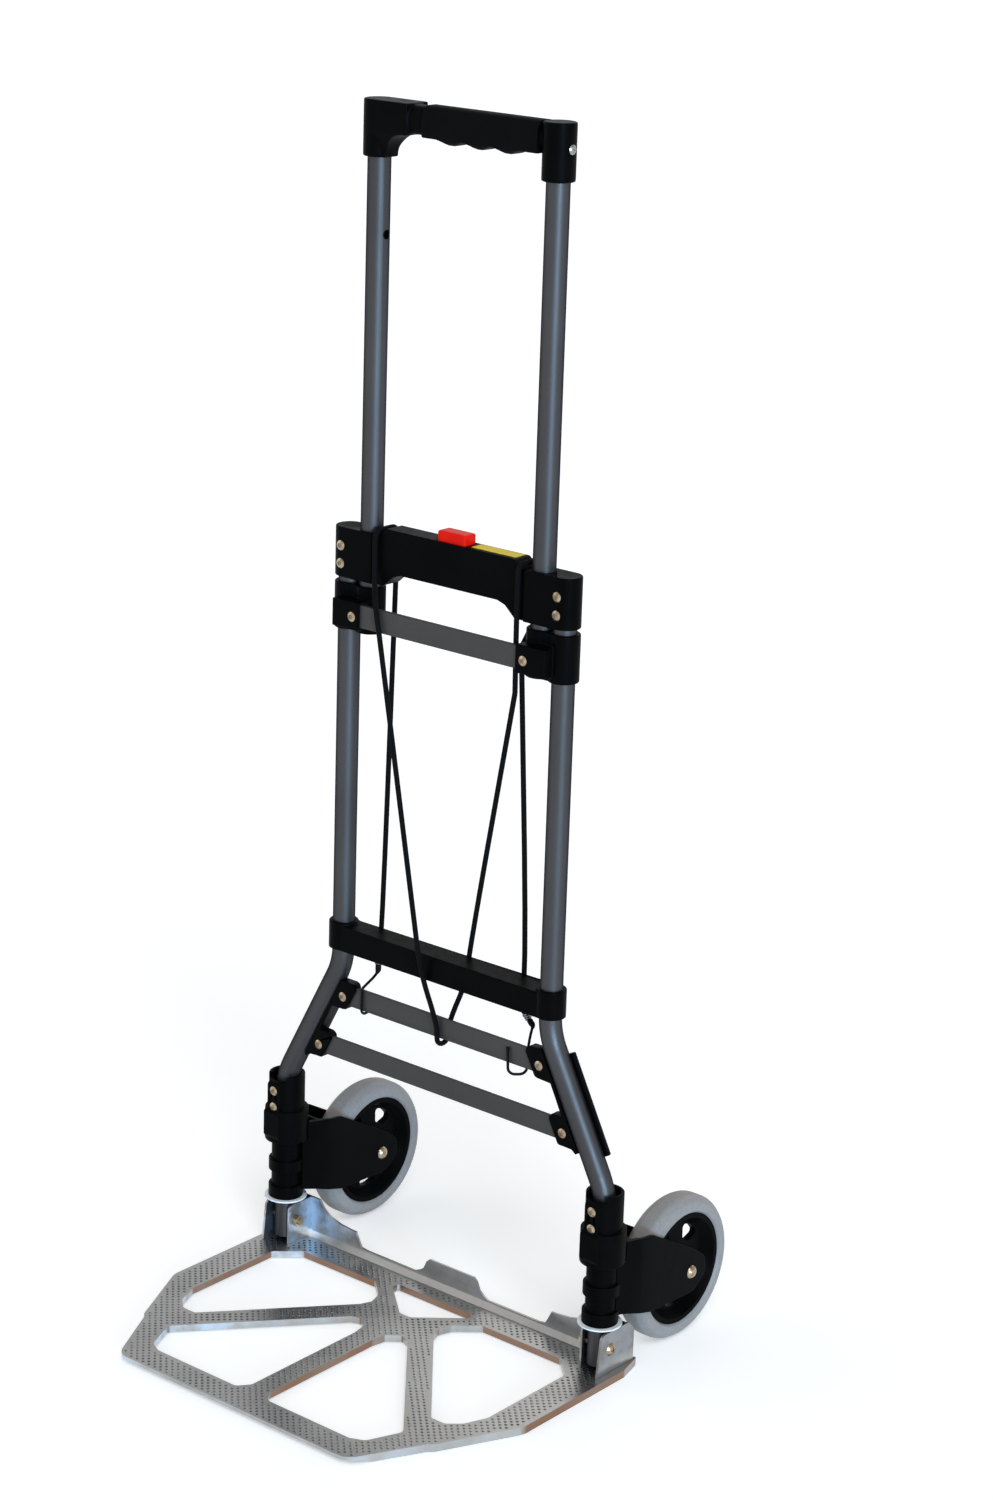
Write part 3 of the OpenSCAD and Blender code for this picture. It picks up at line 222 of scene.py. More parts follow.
def rubber_tyre(g):
    """Grey rubber with dust all over and grime in patches."""
    cloud = g.noise(30, 5, 0.6)
    dust = g.noise(420, 4, 0.6)
    grime = g.math("MULTIPLY", g.span(cloud, 0.5, 0.72), g.span(dust, 0.4, 0.7))
    rubber = g.blend(g.span(dust, 0.3, 0.7), rgb(0.235, 0.214, 0.200), rgb(0.285, 0.262, 0.246))
    return {
        "Base_Color": g.blend(g.math("MULTIPLY", grime, 0.5), rubber, rgb(0.20, 0.19, 0.18)),
        "Roughness": g.span(cloud, 0.3, 0.7, 0.44, 0.6),
        "Normal": g.bump(dust, 0.12, 0.00015),
    }


def pressed_sheet(g):
    """Aluminium sheet: rolled grain along x and handling marks. Its tall upright faces are painted darker as shade;
    its upright faces carry a painted cool reflection that grows to the left, and the low ones that face along x or y
    carry a painted warm reflection, but not the front edge."""
    roll = g.noise(90, 4, 0.6, (0.12, 9, 9))
    cloud = g.noise(14, 4, 0.55)
    blotch = g.noise(55, 4, 0.6)
    marks = g.noise(700, 3, 0.65, (0.3, 1, 1))
    facing = g.add("ShaderNodeSeparateXYZ", Vector=g.add("ShaderNodeTexCoord").outputs["Normal"])
    place = g.add("ShaderNodeSeparateXYZ", Vector=g.coords())
    upright = g.span(g.math("ABSOLUTE", facing.outputs["Z"]), 0.35, 0.75, 1.0, 0.0)

    # Painted warm reflection: low faces along x or y, behind the front edge, are tinted brown in patches
    across = g.math("MULTIPLY", facing.outputs["X"], facing.outputs["Y"])
    square = g.span(g.math("MULTIPLY", g.math("ABSOLUTE", across), 2.0), 0.15, 0.7, 1.0, 0.0)
    low = g.span(place.outputs["Z"], SHEET_TOP, SHEET_TOP + 1 * MM, 1.0, 0.0)
    outer = g.span(g.math("ABSOLUTE", place.outputs["X"]), EAR_X, EAR_X + 1 * MM)
    behind = g.span(place.outputs["Y"], FRONT_EDGE + 1 * MM, FRONT_EDGE + 3 * MM)
    where = g.math("MULTIPLY", g.math("MAXIMUM", low, outer), behind)
    patchy = g.math("MULTIPLY", where, g.span(cloud, 0.3, 0.6, 0.62, 0.9))
    painted_warm_reflection = g.math("MULTIPLY", g.math("MULTIPLY", upright, square), patchy)

    metal = g.blend(g.span(cloud, 0.3, 0.72), rgb(0.375, 0.366, 0.350), rgb(0.49, 0.479, 0.458))
    metal = g.blend(g.math("MULTIPLY", g.span(marks, 0.55, 0.75), 0.35), metal, rgb(0.265, 0.260, 0.252))
    # Painted shade: the tall upright faces are darkened
    painted_shade_tall = g.math("MULTIPLY", upright, g.span(place.outputs["Z"], 12 * MM, 20 * MM))
    metal = g.blend(g.math("MULTIPLY", painted_shade_tall, 0.62), metal, rgb(0.135, 0.125, 0.116))
    # Painted cool reflection: bluish blotches on upright faces, stronger to the left
    leftward = g.span(place.outputs["X"], -125 * MM, -75 * MM, 0.75, 0.16)
    painted_cool_reflection = g.math("MULTIPLY", g.math("MULTIPLY", upright, g.span(blotch, 0.38, 0.6)), leftward)
    metal = g.blend(painted_cool_reflection, metal, rgb(0.60, 0.75, 0.92))
    return {
        "Base_Color": g.blend(painted_warm_reflection, metal, rgb(0.25, 0.125, 0.062)),
        "Roughness": g.math("ADD", g.span(roll, 0.3, 0.7, 0.0, 0.10), g.span(cloud, 0.3, 0.7, 0.24, 0.32)),
        "Normal": g.bump(roll, 0.08, 0.0003, g.bump(marks, 0.05, 0.0001, g.bump(blotch, 0.12, 0.0012))),
    }


def dome_with_painted_shade(g):
    """The pattern's domes: the same sheet, painted darker as painted shade so that they stand out, darker in some
    places than others, and smoother.
    """
    cloud = g.noise(16, 4, 0.55)
    fine = g.noise(900, 3, 0.6)
    return {
        # Painted shade: the domes are darker than the sheet round them
        "Base_Color": g.blend(g.span(cloud, 0.4, 0.62), rgb(0.150, 0.155, 0.162), rgb(0.37, 0.365, 0.355)),
        "Roughness": g.span(fine, 0.3, 0.7, 0.18, 0.28),
        "Normal": g.bump(fine, 0.05, 0.0001),
    }


def braid(g):
    """Woven sheath: two crossing sets of strands wound round the cord; UV is turns round and metres along."""
    uv = g.add("ShaderNodeSeparateXYZ", Vector=g.add("ShaderNodeTexCoord").outputs["UV"])
    strands, pitch = 8, 2.6 * MM
    turn = g.math("MULTIPLY", uv.outputs["X"], strands * math.tau)
    run = g.math("MULTIPLY", uv.outputs["Y"], math.tau / pitch)
    left = g.math("SINE", g.math("ADD", turn, run))
    right = g.math("SINE", g.math("SUBTRACT", turn, run))
    weave = g.math("MAXIMUM", left, right)
    fuzz = g.noise(3000, 3, 0.6)
    return {
        # Painted shade: the colour is darker in the gaps between strands, where the weave's bump is low
        "Base_Color": g.blend(g.span(weave, -0.2, 1.0), rgb(0.0014, 0.0014, 0.0014), rgb(0.0055, 0.0055, 0.0057)),
        "Roughness": g.span(fuzz, 0.3, 0.7, 0.65, 0.85),
        "Normal": g.bump(weave, 0.5, 0.0003, g.bump(fuzz, 0.1, 0.0001)),
    }


def milky(g):
    """Pale nylon, a little cloudy."""
    cloud = g.noise(120, 3, 0.5)
    return {
        "Base_Color": g.blend(g.span(cloud, 0.3, 0.7), rgb(0.74, 0.77, 0.80), rgb(0.84, 0.86, 0.88)),
        "Roughness": g.span(cloud, 0.3, 0.7, 0.32, 0.42),
    }


def glossy_moulding(dark, light):
    """Coloured plastic with a smooth face."""
    def build(g):
        cloud = g.noise(60, 3, 0.5)
        fine = g.noise(1400, 3, 0.5)
        return {
            "Base_Color": g.blend(g.span(cloud, 0.3, 0.7), rgb(*dark), rgb(*light)),
            "Roughness": g.span(fine, 0.3, 0.7, 0.3, 0.4),
            "Normal": g.bump(fine, 0.06, 0.0001),
        }
    return build


LOOK = {
    "tube_paint": enamel("tube_paint_enamel", (0.056, 0.055, 0.057), (0.088, 0.088, 0.092), 0.6, 0.43, 0.9,
                         (0.20, 0.19, 0.19)),
    "bar_paint": enamel("bar_paint_enamel", (0.052, 0.048, 0.045), (0.084, 0.078, 0.073), 0.6, 0.45, 0.5,
                        (0.35, 0.35, 0.35)),
    "plate_aluminium": surface("pressed_aluminium", pressed_sheet, Metallic=1.0),
    "plate_dome": surface("pressed_dome", dome_with_painted_shade, Metallic=1.0),
    "black_nylon": moulded("black_nylon_moulding", (0.0011, 0.0011, 0.0012), (0.0020, 0.0020, 0.0022), 0.40,
                           level=0.022),
    "wheel_nylon": moulded("wheel_nylon_moulding", (0.0010, 0.0010, 0.0010), (0.0018, 0.0018, 0.0018), 0.38,
                           level=0.018),
    "grip_rubber": moulded("grip_rubber_moulding", (0.0018, 0.0018, 0.0019), (0.0032, 0.0032, 0.0033), 0.62,
                           grain=1300, level=0.03, depth=0.4),
    "tyre_rubber": surface("tyre_rubber_grey", rubber_tyre, Specular_IOR_Level=0.35),
    "button_red": surface("button_red_gloss", glossy_moulding((0.68, 0.006, 0.002), (0.78, 0.010, 0.003)),
                          Specular_IOR_Level=0.08),
    "label_yellow": surface("label_yellow_plate", glossy_moulding((0.70, 0.49, 0.010), (0.78, 0.56, 0.016)),
                            Specular_IOR_Level=0.05),
    "zinc": plated("zinc_plate", (0.47, 0.385, 0.27), (0.27, 0.16, 0.07), 0.25),
    "crimp_sleeve": plated("crimp_sleeve", (0.16, 0.16, 0.17), (0.02, 0.02, 0.02), 0.24),
    # Darker metal of the rivets' mandrels, which also stands as painted shade for their holes and for the screws'
    # recesses
    "mandrel_metal_and_painted_shade": plated("mandrel_metal_and_painted_shade", (0.20, 0.17, 0.14), (0.10, 0.07, 0.05), 0.4),
    "spring_steel": plated("spring_wire", (0.42, 0.42, 0.43), (0.28, 0.27, 0.26), 0.3),
    "white_nylon": surface("milky_nylon", milky, Subsurface_Weight=0.25, Subsurface_Scale=0.002,
                           Specular_IOR_Level=0.4),
    "cord_black": surface("braided_sheath", braid, Specular_IOR_Level=0.05),
    "hook_wire": moulded("coated_wire", (0.0025, 0.0025, 0.0026), (0.0045, 0.0045, 0.0047), 0.32, grain=3000,
                         level=0.07, depth=0.08),
}


# ------------------------------------------------------------------ pieces
def new_piece(name, mesh, look, node, replaced=()):
    """A piece with the named look, on the CAD node's body; replaced are the nodes it stands for."""
    piece = bpy.data.objects.new(name, mesh)
    scene.collection.objects.link(piece)
    mesh.materials.clear()
    mesh.materials.append(LOOK[look])
    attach(piece, BODY_OF[node])
    if replaced:
        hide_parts(*replaced)
    return piece


def stand_in(node, mesh):
    return new_piece(node + "_finished", mesh, SLOT_OF[node], node, [node])


def as_mesh(bm, name, smooth=True):
    mesh = bpy.data.meshes.new(name)
    bm.to_mesh(mesh)
    bm.free()
    if smooth:
        mesh.shade_smooth()
    return mesh


WELD = 2e-6                 # vertices closer than this are one, in metres
SHARP = math.radians(32)    # faces that meet at more than this have an edge to round
CORNER = math.radians(50)   # edges that turn more than this don't carry on into each other
NEARBY = 6 * MM             # edges farther apart than this don't limit each other's rounding
SHARE = 0.42                # of the room beside it that an edge's rounding may take


def cleaned(node, flat=1.5):
    """A bmesh of a CAD node, its seams welded and its triangles joined where they turn less than flat degrees."""
    bm = bmesh.new()
    bm.from_mesh(CAD[node].data)
    bmesh.ops.remove_doubles(bm, verts=bm.verts, dist=WELD)
    bmesh.ops.dissolve_degenerate(bm, edges=bm.edges, dist=1e-6)
    bmesh.ops.dissolve_limit(bm, angle_limit=math.radians(flat), verts=bm.verts, edges=bm.edges)
    return bm


def finished(piece):
    normals = piece.modifiers.new("normals", "WEIGHTED_NORMAL")
    normals.keep_sharp = True
    normals.weight = 60


BORES = [side * x * MM for side in (-1, 1) for x in (177, 113.5, 90.5)]     # x of the upright tubes
BORE_REACH = TUBE_R + 0.7 * MM


def in_bore(edge):
    """True for the rim of a hole round one of the upright tubes, which stays sharp."""
    return all(any(math.hypot(v.co.x - x, v.co.y - TUBE_Y) < BORE_REACH for x in BORES) for v in edge.verts)


def chains(edges):
    """Sorts edges into runs that carry on smoothly: returns the run's number by edge, and how many runs there are."""
    at = {}
    for e in edges:
        for v in e.verts:
            at.setdefault(v, []).append(e)
    run, count = {}, 0
    for first in edges:
        if first in run:
            continue
        run[first], todo = count, [first]
        while todo:
            e = todo.pop()
            for v in e.verts:
                if len(at[v]) != 2:
                    continue
                other = at[v][0] if at[v][1] is e else at[v][1]
                turn = (v.co - e.other_vert(v).co).angle(other.other_vert(v).co - v.co, 0)
                if other not in run and turn < CORNER:
                    run[other] = count
                    todo.append(other)
        count += 1
    return run, count


def room(edges, run, count):
    """How far each run is from the nearest other run that it doesn't touch."""
    touching, at = set(), {}
    for e in edges:
        for v in e.verts:
            at.setdefault(v, set()).add(run[e])
    for there in at.values():
        touching |= {(i, j) for i in there for j in there}
    marks, owner = [], []
    for e in edges:
        steps = max(2, int(e.calc_length() / (1.5 * MM)))
        for k in range(steps + 1):
            marks.append(e.verts[0].co.lerp(e.verts[1].co, k / steps))
            owner.append(run[e])
    near = KDTree(len(marks))
    for k, p in enumerate(marks):
        near.insert(p, k)
    near.balance()
    out = [1.0] * count
    for k, p in enumerate(marks):
        for _, other, far in near.find_range(p, NEARBY):
            if (owner[k], owner[other]) not in touching:
                out[owner[k]] = min(out[owner[k]], far)
    return out


def dressed(node, width, segments, flat=1.5):
    """Replaces a CAD node by its own shape with rounded edges, each run as wide as the room beside it allows."""
    bm = cleaned(node, flat)
    weight = bm.edges.layers.float.new("bevel_weight_edge")
    sharp = [e for e in bm.edges if len(e.link_faces) == 2 and e.calc_face_angle(0) > SHARP]
    run, count = chains(sharp)
    free = room(sharp, run, count)
    for e in sharp:
        if not in_bore(e):
            e[weight] = min(1.0, SHARE * free[run[e]] / width)
    piece = stand_in(node, as_mesh(bm, node + "_finished"))
    bevel = piece.modifiers.new("bevel", "BEVEL")
    bevel.width, bevel.segments, bevel.use_clamp_overlap = width, segments, False
    bevel.limit_method = "WEIGHT"
    bevel.miter_outer = bevel.miter_inner = "MITER_SHARP"
    finished(piece)
    return piece


def applied(piece):
    """Turns a piece's modifiers into its mesh."""
    graph = bpy.context.evaluated_depsgraph_get()
    mesh = bpy.data.meshes.new_from_object(piece.evaluated_get(graph))
    piece.modifiers.clear()
    old, piece.data = piece.data, mesh
    bpy.data.meshes.remove(old)


def softened(node, voxel, rounds):
    """Replaces a CAD node by a remeshed copy whose edges are all rounded, as on a thick soft moulding."""
    piece = stand_in(node, as_mesh(cleaned(node), node + "_finished", smooth=False))
    remesh = piece.modifiers.new("remesh", "REMESH")
    remesh.mode, remesh.voxel_size, remesh.use_smooth_shade = "VOXEL", voxel, True
    calm = piece.modifiers.new("calm", "SMOOTH")
    calm.factor, calm.iterations = 0.5, rounds
    applied(piece)
    piece.data.materials.clear()
    piece.data.materials.append(LOOK[SLOT_OF[node]])
    piece.data.shade_smooth()


def plate_edges(width):
    """The toe plate keeps its outline, with a fine rounding that stops where two edges come close."""
    piece = stand_in("toe_plate", as_mesh(cleaned("toe_plate"), "toe_plate_finished"))
    bevel = piece.modifiers.new("bevel", "BEVEL")
    bevel.width, bevel.segments, bevel.use_clamp_overlap = width, 2, True
    bevel.limit_method, bevel.angle_limit = "ANGLE", SHARP
    finished(piece)


def draft(piece, below, pull):
    """Draws a moulding's lower edge in from front and back, so that it clears its chamber when it is pressed in."""
    for v in piece.data.vertices:
        if v.co.z < below and abs(v.co.y - TUBE_Y) > 6 * MM:
            v.co.y -= math.copysign(pull, v.co.y - TUBE_Y)


def latch_spring(side):
    """One coil of the latch springs, from its seat on the housing to its latch."""
    name = "right_latch" if side > 0 else "left_latch"
    bm = bmesh.new()
    bm.from_mesh(CAD["latch_springs"].data)
    bmesh.ops.remove_doubles(bm, verts=bm.verts, dist=WELD)
    bmesh.ops.delete(bm, geom=[v for v in bm.verts if v.co.x * side < 0], context="VERTS")
    mesh = as_mesh(bm, name + "_spring")
    piece = new_piece(name + "_spring", mesh, "spring_steel", "latch_springs", ["latch_springs"])
    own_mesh(piece)


# Rounding of each node's edges: widest, in mm, and its segments
EDGES = {
    "release_housing": (1.5, 3), "housing_back_cover": (0.6, 2), "lower_crossbar": (1.5, 3),
    "left_side_bracket": (0.8, 2), "right_side_bracket": (0.8, 2),
    "upper_flat_bar": (0.7, 2), "lower_flat_bar": (0.7, 2), "guide_bar": (0.7, 2),
    "left_collar": (0.8, 2), "right_collar": (0.8, 2), "handle_grip": (1.6, 3),
    "left_guide": (1.2, 3), "right_guide": (1.2, 3), "release_button": (1.9, 4), "housing_label": (0.12, 1),
    "left_fork": (1.0, 3), "right_fork": (1.0, 3),
    "left_hub": (0.5, 2), "right_hub": (0.5, 2), "hinge_nuts": (0.35, 2),
}
UNJOINED = ("left_collar", "right_collar")    # their slotted rings only round well as triangles

dressed_pieces = {}
for node, (width, segments) in EDGES.items():
    dressed_pieces[node] = dressed(node, width * MM, segments, flat=0.01 if node in UNJOINED else 1.5)
plate_edges(0.5 * MM)
button = dressed_pieces["release_button"]
applied(button)
draft(button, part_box("release_housing")[1][2] - 1 * MM, 0.3 * MM)
for side in (-1, 1):
    latch_spring(side)
softened("handle_bar", 0.75 * MM, 14)


# ------------------------------------------------------------------ swept and turned detail
def smoothed(points, rounds):
    """Cuts the corners of a chain of points, keeping its two ends."""
    for _ in range(rounds):
        out = [points[0]]
        for a, b in zip(points, points[1:]):
            out += [a.lerp(b, 0.25), a.lerp(b, 0.75)]
        points = out + [points[-1]]
    return points


def trail(route, steps=8):
    """The points of a route whose entries are (x, y, z in mm from the tubes' plane, bend radius)."""
    at = [Vector(p[:3]) for p in route]
    out = [at[0]]
    for a, b, c, (*_, r) in zip(at, at[1:], at[2:], route[1:]):
        u, v = (a - b).normalized(), (c - b).normalized()
        half = math.acos(max(-1, min(1, u.dot(v)))) / 2
        if r == 0:
            out.append(b)
            continue
        m = (u + v).normalized()
        o, e, turn = b + m * r / math.sin(half), (v - m * v.dot(m)).normalized(), math.pi / 2 - half
        for i in range(steps + 1):
            w = turn * (2 * i / steps - 1)
            out.append(o + (e * math.sin(w) - m * math.cos(w)) * r)
    out.append(at[-1])
    return [(p * MM + Vector((0, TUBE_Y, 0))) for p in out]


def even(points, pitch):
    """The same chain with points about a pitch apart."""
    out, left = [points[0]], pitch
    for a, b in zip(points, points[1:]):
        span, done = (b - a).length, 0.0
        while span - done >= left:
            done += left
            out.append(a.lerp(b, done / span))
            left = pitch
        left -= span - done
    if (out[-1] - points[-1]).length > pitch * 0.3:
        out.append(points[-1])
    else:
        out[-1] = points[-1]
    return out


def ring_point(k, sides):
    """The cosine and sine of the k-th of a ring's sides."""
    return math.cos(k * math.tau / sides), math.sin(k * math.tau / sides)


def swept(name, points, radii, sides):
    """A closed tube along points, with UV as turns round and metres along."""
    last = len(points) - 1
    tangents = [(points[min(i + 1, last)] - points[max(i - 1, 0)]).normalized() for i in range(last + 1)]
    side = tangents[0].orthogonal().normalized()
    bm = bmesh.new()
    uv = bm.loops.layers.uv.new("UVMap")
    rings, runs, run = [], [], 0.0
    for i, (p, t) in enumerate(zip(points, tangents)):
        side = (side - t * side.dot(t)).normalized()
        up = t.cross(side)
        r = radii if isinstance(radii, float) else radii[i]
        spokes = [ring_point(k, sides) for k in range(sides)]
        rings.append([bm.verts.new(p + (side * c + up * s) * r) for c, s in spokes])
        run += (p - points[i - 1]).length if i else 0.0
        runs.append(run)
    for i in range(len(rings) - 1):
        a, b = rings[i], rings[i + 1]
        for k in range(sides):
            face = bm.faces.new((a[k], a[(k + 1) % sides], b[(k + 1) % sides], b[k]))
            for loop, (turn, along) in zip(face.loops, ((k, i), (k + 1, i), (k + 1, i + 1), (k, i + 1))):
                loop[uv].uv = (turn / sides, runs[along])
    bm.faces.new(reversed(rings[0]))
    bm.faces.new(rings[-1])
    return as_mesh(bm, name)


def joined(name, meshes):
    bm = bmesh.new()
    for mesh in meshes:
        bm.from_mesh(mesh)
        bpy.data.meshes.remove(mesh)
    return as_mesh(bm, name, smooth=False)


# ------------------------------------------------------------------ elastic cord, its crimps and its hooks
# Points in mm from the tubes' plane, with the bend's radius; the cord's are the same as in the CAD source
CORD_ROUTE = [
    (-86.5, 14.8, 293, 0), (-86.5, 14.8, 297, 0), (-83, 14.8, 325, 0), (-75, 13.4, 639, 0), (-75, 13.4, 672.4, 6),
    (-75, -13.4, 672.4, 6), (-75, -13.4, 634, 0), (-64, -24, 614, 0), (-58.5, -24, 588, 0), (-9.5, -24, 331, 12),
    (-12.5, -13.8, 303, 0), (-1, -6.8, 262, 0), (-0.5, -6.8, 243.8, 6.2), (0.5, 5.8, 243.8, 6.2), (1.5, 5.8, 262, 0),
    (12, 14.8, 300, 0), (13, 14.8, 322, 0), (76, -13.4, 568, 15), (75, -13.4, 625, 0), (75, -13.4, 672.4, 6),
    (75, 13.4, 672.4, 6), (75, 13.4, 627, 10), (72.5, -3, 603, 14), (74.5, 14.8, 330, 0), (69.5, 15, 292.5, 4),
    (75, 15, 287.5, 0),
]
LEFT_HOOK = [(-86.5, 14.8, 287, 0), (-86.5, 14.8, 279, 0), (-86, -5.8, 270.5, 3), (-86.5, -5.8, 246.5, 5),
             (-86.5, 5, 246.5, 5), (-86.3, 5, 260, 0)]
RIGHT_HOOK = [(79.4, 15, 283.5, 0), (84.2, 14.5, 279.2, 2), (84.6, 11, 272, 0), (87, 5.2, 261, 0),
              (87, 5, 240, 6), (76, -6, 240, 6), (75, -6, 264, 0)]
CORD_D = 4.4 * MM


def crimp(a, b):
    """A pressed sleeve from the cord's end a, away from b."""
    along = (a - b).normalized()
    shape = [(0, 2.5), (0.35, 3.1), (1.5, 3.1), (1.9, 2.7), (2.5, 2.7), (2.9, 3.1), (3.4, 3.1), (3.8, 2.7),
             (4.4, 2.7), (4.8, 3.1), (5.65, 3.1), (6, 2.5)]
    return swept("crimp", [a + along * (t * MM) for t, _ in shape], [r * MM for _, r in shape], 20)


def hook(route):
    """A coated wire hook: a thick eye end that tapers to the wire, and a rounded tip."""
    pitch, eye, wire, tip = 0.9, 2.55, 1.2, 1.5
    points = even(smoothed(trail(route), 2), pitch * MM)
    last = len(points) - 1
    radii = []
    for i in range(len(points)):
        r = eye if i < 6 else wire + (eye - wire) * max(0.0, 1 - (i - 6) / 4)
        r = max(r, tip if 0.4 < (last - i) * pitch < 4 else 0)
        radii.append(r * (0.55 if i in (0, last) else 1) * MM)
    return swept("hook", points, radii, 14)


path = even(smoothed(trail(CORD_ROUTE), 2), 2.2 * MM)
ends = [crimp(path[0], path[1]), crimp(path[-1], path[-2])]
crimps = new_piece("cord_crimps", joined("cord_crimps", ends), "crimp_sleeve", "cord_ends", ["cord_ends"])
both_hooks = joined("wire_hooks", [hook(LEFT_HOOK), hook(RIGHT_HOOK)])
hooks = new_piece("wire_hooks", both_hooks, "hook_wire", "cord_hooks", ["cord_hooks"])
cord = new_piece("braided_cord", swept("braided_cord", path, CORD_D / 2, 16), "cord_black", "elastic_cord",
                 ["elastic_cord"])


# ------------------------------------------------------------------ rivets and screws
def solids(node):
    """The separate solids of a CAD node, each as its lowest and highest corners."""
    bm = cleaned(node, 0.5)
    seen, out = set(), []
    for first in bm.verts:
        if first in seen:
            continue
        seen.add(first)
        todo, part = [first], []
        while todo:
            v = todo.pop()
            part.append(v.co.copy())
            for e in v.link_edges:
                w = e.other_vert(v)
                if w not in seen:
                    seen.add(w)
                    todo.append(w)
        out.append([Vector([pick(p[k] for p in part) for k in range(3)]) for pick in (min, max)])
    bm.free()
    return out


def turned(name, profile, sides, place):
    """A turned shape: profile is (radius, height) in mm from the axis outwards; place moves it, +Z being out."""
    bm = bmesh.new()
    spokes = [ring_point(k, sides) for k in range(sides)]
    rings = [[bm.verts.new(place @ (Vector((r * c, r * s, h)) * MM)) for c, s in spokes]
             for r, h in profile if r > 0]
    if profile[0][0] == 0:
        tip = bm.verts.new(place @ Vector((0, 0, profile[0][1] * MM)))
        for k in range(sides):
            bm.faces.new((tip, rings[0][k], rings[0][(k + 1) % sides]))
    for a, b in zip(rings, rings[1:]):
        for k in range(sides):
            bm.faces.new((a[k], b[k], b[(k + 1) % sides], a[(k + 1) % sides]))
    return as_mesh(bm, name)


FRONT = Matrix(((1, 0, 0), (0, 0, -1), (0, 1, 0))).to_4x4()      # turns +Z to face -Y
MANDREL = [(0, 0.16), (0.55, 0.14), (0.95, 0.02), (1.05, -0.12), (1.25, -0.14), (1.5, 0.1), (1.75, 0.12), (2.0, -0.1)]
# The mandrels are darker than the rivets, partly as their own metal and partly as painted shade for the hole round
# each
for node in ("housing_rivets", "guide_rivets", "flat_bar_rivets", "collar_rivets"):
    spots = [Matrix.Translation(((a.x + b.x) / 2, a.y, (a.z + b.z) / 2)) @ FRONT for a, b in solids(node)]
    pins = joined(node + "_mandrels", [turned("mandrel", MANDREL, 16, m) for m in spots])
    new_piece(node + "_mandrels", pins, "mandrel_metal_and_painted_shade", node)


def hit_tree(node):
    mesh = CAD[node].data
    return BVHTree.FromPolygons([v.co for v in mesh.vertices], [p.vertices for p in mesh.polygons])


def cross(tree, spot, out, reach=2.2 * MM, width=0.9 * MM):
    """A Phillips recess as painted shade: a dark cross laid just over the screw head at spot, which faces along out.
    """
    side = out.orthogonal().normalized()
    turn = Matrix.Rotation(math.radians(27), 3, out)
    bm = bmesh.new()
    for along in (turn @ side, turn @ out.cross(side)):
        across = out.cross(along)
        rows = []
        for i in range(9):
            pair = []
            for w in (-0.5, 0.5):
                at = spot + along * ((i / 4 - 1) * reach) + across * (w * width)
                hit = tree.ray_cast(at + out * (6 * MM), -out, 8 * MM)[0]
                pair.append(bm.verts.new((hit or at) + out * (0.03 * MM)))
            rows.append(pair)
        for a, b in zip(rows, rows[1:]):
            bm.faces.new((a[0], a[1], b[1], b[0]))
    return as_mesh(bm, "cross", smooth=False)


# Painted shade: a dark cross on each handle screw's head stands for its recess
crosses = []
for a, b in solids("handle_screws"):
    side = 1 if a.x + b.x > 0 else -1
    head = Vector((b.x if side > 0 else a.x, (a.y + b.y) / 2, (a.z + b.z) / 2))
    crosses.append(cross(hit_tree("handle_screws"), head, Vector((side, 0, 0))))
new_piece("handle_screws_recess_shade", joined("handle_screws_recess_shade", crosses), "mandrel_metal_and_painted_shade", "handle_screws")

REPLACED = {*EDGES, "handle_bar", "toe_plate", "elastic_cord", "cord_ends", "cord_hooks", "latch_springs"}
for node, obj in CAD.items():
    if node not in REPLACED:
        obj.data.materials[0] = LOOK["spring_steel" if node == "handle_screws" else SLOT_OF[node]]


# ------------------------------------------------------------------ pressed pattern of the toe plate
def plate_pattern(pitch=6.8 * MM, sides=8):
    """Small raised domes in staggered rows, wherever the sheet is whole round them."""
    dome = [(1.5, -0.05), (1.1, 0.24), (0.6, 0.42)]      # radius and height of its rings, in mm
    tip_height = 0.48 * MM
    clear = 3.2 * MM
    above = SHEET_TOP + 20 * MM
    tree = hit_tree("toe_plate")
    spokes = [ring_point(k, sides) for k in range(sides)]

    def whole(x, y):
        for c, s in [(0, 0), *spokes]:
            hit = tree.ray_cast(Vector((x + clear * c, y + clear * s, above)), Vector((0, 0, -1)), 30 * MM)[0]
            if hit is None or abs(hit.z - SHEET_TOP) > 0.2 * MM:
                return False
        return True

    low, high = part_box("toe_plate")
    bm = bmesh.new()
    row, y = 0, low[1] + 4 * MM
    while y < high[1]:
        x = (row % 2) * pitch / 2 - 30 * pitch
        while x < high[0]:
            if whole(x, y):
                rings = [[bm.verts.new((x + r * MM * c, y + r * MM * s, SHEET_TOP + h * MM)) for c, s in spokes]
                         for r, h in dome]
                tip = bm.verts.new((x, y, SHEET_TOP + tip_height))
                for a, b in zip(rings, rings[1:]):
                    for k in range(sides):
                        bm.faces.new((a[k], a[(k + 1) % sides], b[(k + 1) % sides], b[k]))
                for k in range(sides):
                    bm.faces.new((rings[-1][k], rings[-1][(k + 1) % sides], tip))
            x += pitch
        y += pitch / 2
        row += 1
    new_piece("plate_pattern", as_mesh(bm, "plate_pattern"), "plate_dome", "toe_plate")


plate_pattern()


# ------------------------------------------------------------------ floor and light
def see_through_studio(g):
    """1 for camera, glossy and transmission rays, which see the plain background."""
    path = g.add("ShaderNodeLightPath")
    seen = g.math("MAXIMUM", path.outputs["Is Camera Ray"], path.outputs["Is Glossy Ray"])
    return g.math("MAXIMUM", seen, path.outputs["Is Transmission Ray"])


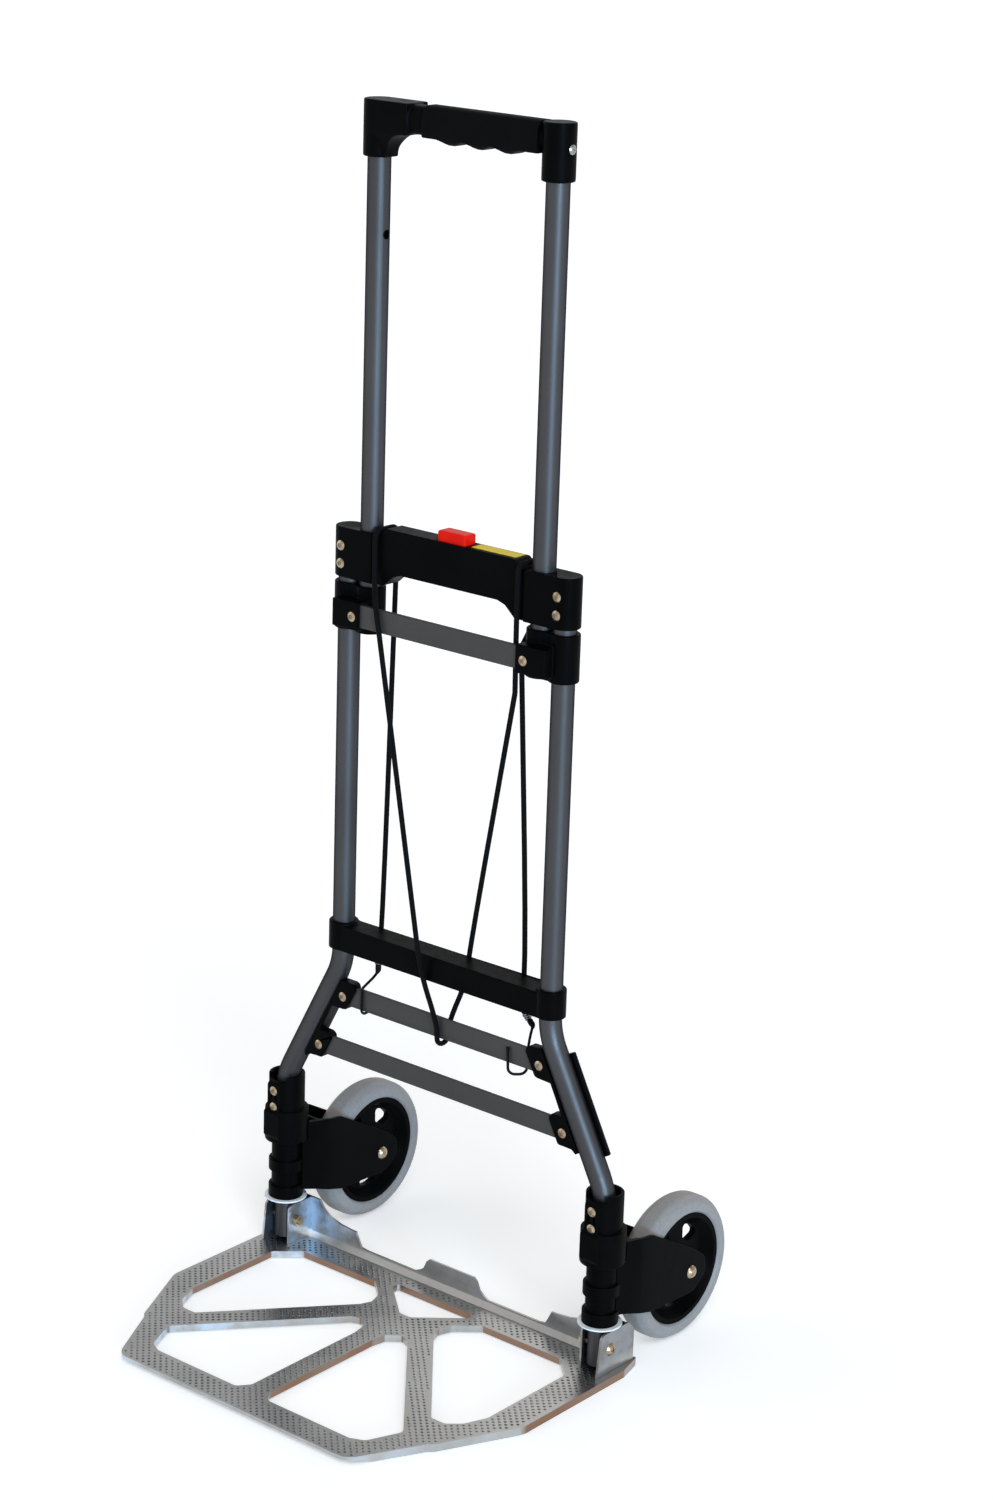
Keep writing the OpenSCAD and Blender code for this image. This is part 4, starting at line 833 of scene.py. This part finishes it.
def make_floor():
    mesh = bpy.data.meshes.new("floor")
    reach, level = 60.0, -0.4 * MM
    corners = [(-reach, -reach, level), (reach, -reach, level), (reach, reach, level), (-reach, reach, level)]
    mesh.from_pydata(corners, [], [(0, 1, 2, 3)])
    floor = bpy.data.objects.new("floor", mesh)
    scene.collection.objects.link(floor)
    mat, tree = fresh("pale_floor")
    g = Graph(tree)
    paint = g.add("ShaderNodeBsdfDiffuse", Color=rgb(0.84, 0.84, 0.84))
    glow = g.add("ShaderNodeEmission", Color=rgb(1, 1, 1))
    g.put(glow.inputs["Strength"], g.math("MULTIPLY", see_through_studio(g), 0.37))
    both = g.add("ShaderNodeAddShader")
    tree.links.new(paint.outputs[0], both.inputs[0])
    tree.links.new(glow.outputs[0], both.inputs[1])
    out = g.add("ShaderNodeOutputMaterial")
    tree.links.new(both.outputs[0], out.inputs[0])
    mesh.materials.append(mat)


def make_world():
    world = bpy.data.worlds.new("studio")
    scene.world = world
    world.use_nodes = True
    tree = world.node_tree
    tree.nodes.clear()
    g = Graph(tree)
    # The backdrop is white to well above the horizon, and the studio's ceiling is dimmer
    height = g.add("ShaderNodeSeparateXYZ", Vector=g.add("ShaderNodeTexCoord").outputs["Generated"]).outputs["Z"]
    backdrop = g.blend(g.span(height, 0.12, 0.75), rgb(1, 1, 1), rgb(0.30, 0.33, 0.38))
    seen = g.add("ShaderNodeBackground", Color=backdrop, Strength=1.0)
    light = g.add("ShaderNodeBackground", Color=rgb(0.95, 0.975, 1.0), Strength=0.40)
    mix = g.add("ShaderNodeMixShader")
    g.put(mix.inputs[0], see_through_studio(g))
    tree.links.new(light.outputs[0], mix.inputs[1])
    tree.links.new(seen.outputs[0], mix.inputs[2])
    out = g.add("ShaderNodeOutputWorld")
    tree.links.new(mix.outputs[0], out.inputs[0])


def sun(name, azimuth, elevation, strength, spread, colour):
    """A soft distant lamp; azimuth 0 shines from -Y, 90 from +X."""
    a, e = math.radians(azimuth), math.radians(elevation)
    towards = Vector((math.sin(a) * math.cos(e), -math.cos(a) * math.cos(e), math.sin(e)))
    lamp = bpy.data.objects.new(name, bpy.data.lights.new(name, "SUN"))
    scene.collection.objects.link(lamp)
    lamp.data.energy, lamp.data.angle, lamp.data.color = strength, math.radians(spread), colour
    lamp.rotation_mode = "QUATERNION"
    lamp.rotation_quaternion = towards.to_track_quat("Z", "Y")


make_floor()
make_world()
sun("key", 46, 46, 1.1, 26, (0.94, 0.97, 1.0))
sun("window", 59, 5, 3.8, 19, (0.46, 0.72, 1.0))
sun("fill", -62, 28, 0.3, 40, (1.0, 0.93, 0.85))
sun("back", 195, 35, 0.45, 40, (1.0, 0.97, 0.93))
